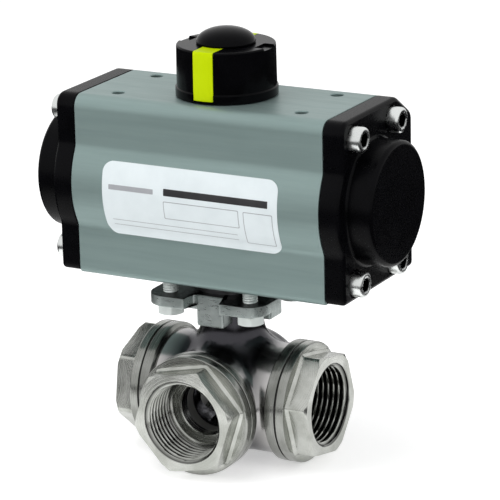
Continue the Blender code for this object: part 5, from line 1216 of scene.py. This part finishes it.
def black_card(name, low, high):
    """A card on the floor from low to high, in metres, that only mirror rays meet."""
    card = plane(name, low, high, FLOOR_Z * MM + CARD_LIFT)
    card.data.materials.append(card_material)
    card.visible_camera = False
    card.visible_diffuse = False
    card.visible_transmission = False
    card.visible_shadow = False


black_card("black_card_front", (-1.1, -1.5), (1.3, -0.2))
black_card("black_card_near", (-0.105, -0.2), (-0.062, -0.125))
black_card("black_card_right", (0.15, -0.2), (1.3, 0.9))
black_card("black_card_rear", (-1.1, 0.2), (0.15, 0.9))
black_card("black_card_left", (-1.1, -0.2), (-0.17, 0.2))
print("floor at", FLOOR_Z, "mm")

# %% The world and the lamps
WORLD_LIGHT = 0.55
WORLD_SEEN = 1.0
world = bpy.data.worlds.new("studio")
bpy.context.scene.world = world
world.use_nodes = True
tree = world.node_tree
background = tree.nodes["Background"]
level = add(tree, "ShaderNodeMapRange")
level.inputs["To Min"].default_value = WORLD_LIGHT
level.inputs["To Max"].default_value = WORLD_SEEN
tree.links.new(seen_rays(tree), level.inputs["Value"])
background.inputs["Color"].default_value = WHITE
tree.links.new(level.outputs["Result"], background.inputs["Strength"])


def lamp(name, place, aim, size, power):
    """A rectangular area lamp at a place, in metres, turned to look at a point."""
    data = bpy.data.lights.new(name, "AREA")
    data.shape = "RECTANGLE"
    data.size, data.size_y = size
    data.energy = power
    item = bpy.data.objects.new(name, data)
    bpy.context.scene.collection.objects.link(item)
    item.location = place
    item.visible_glossy = False
    item.rotation_mode = "QUATERNION"
    item.rotation_quaternion = (Vector(place) - Vector(aim)).to_track_quat("Z", "Y")


MIDDLE = (0.0, 0.0, 0.06)
lamp("lamp_above", (-0.15, -0.2, 0.95), MIDDLE, (0.8, 0.6), 3.0)
lamp("lamp_left", (-0.9, -0.75, 0.45), MIDDLE, (0.5, 0.7), 6.5)
lamp("lamp_right", (0.95, -0.35, 0.35), MIDDLE, (0.4, 0.7), 4.0)
print("lamps:", len(bpy.data.lights))

# %% The camera
PICTURE = 500.0
FOCAL = 3115.445
SENSOR = 36.0
AIM_Z = BORE_Z * MM - 0.020
SHIFT_RIGHT = 0.007625
SHIFT_DOWN = 0.006892
DISTANCE = 1.221829
azimuth, elevation, roll = map(math.radians, (28.489, 16.683, -1.277))
back = Vector((
    math.sin(azimuth) * math.cos(elevation), -math.cos(azimuth) * math.cos(elevation), math.sin(elevation)))
level_right = Vector((math.cos(azimuth), math.sin(azimuth), 0.0))
level_up = back.cross(level_right)
right = level_right * math.cos(roll) + level_up * math.sin(roll)
up = level_up * math.cos(roll) - level_right * math.sin(roll)
target = Vector((0.0, 0.0, AIM_Z)) + right * SHIFT_RIGHT - up * SHIFT_DOWN
eye = target + back * DISTANCE
camera_data = bpy.data.cameras.new("camera")
camera_data.sensor_width = SENSOR
camera_data.lens = FOCAL / PICTURE * SENSOR
camera_data.clip_start = 0.1
camera_data.clip_end = 20.0
camera = bpy.data.objects.new("camera", camera_data)
camera.matrix_world = Matrix((
    (right.x, up.x, back.x, eye.x), (right.y, up.y, back.y, eye.y), (right.z, up.z, back.z, eye.z),
    (0, 0, 0, 1)))
bpy.context.scene.collection.objects.link(camera)
bpy.context.scene.camera = camera
bpy.context.scene.view_settings.view_transform = "Standard"
print("camera", [round(v, 3) for v in eye])
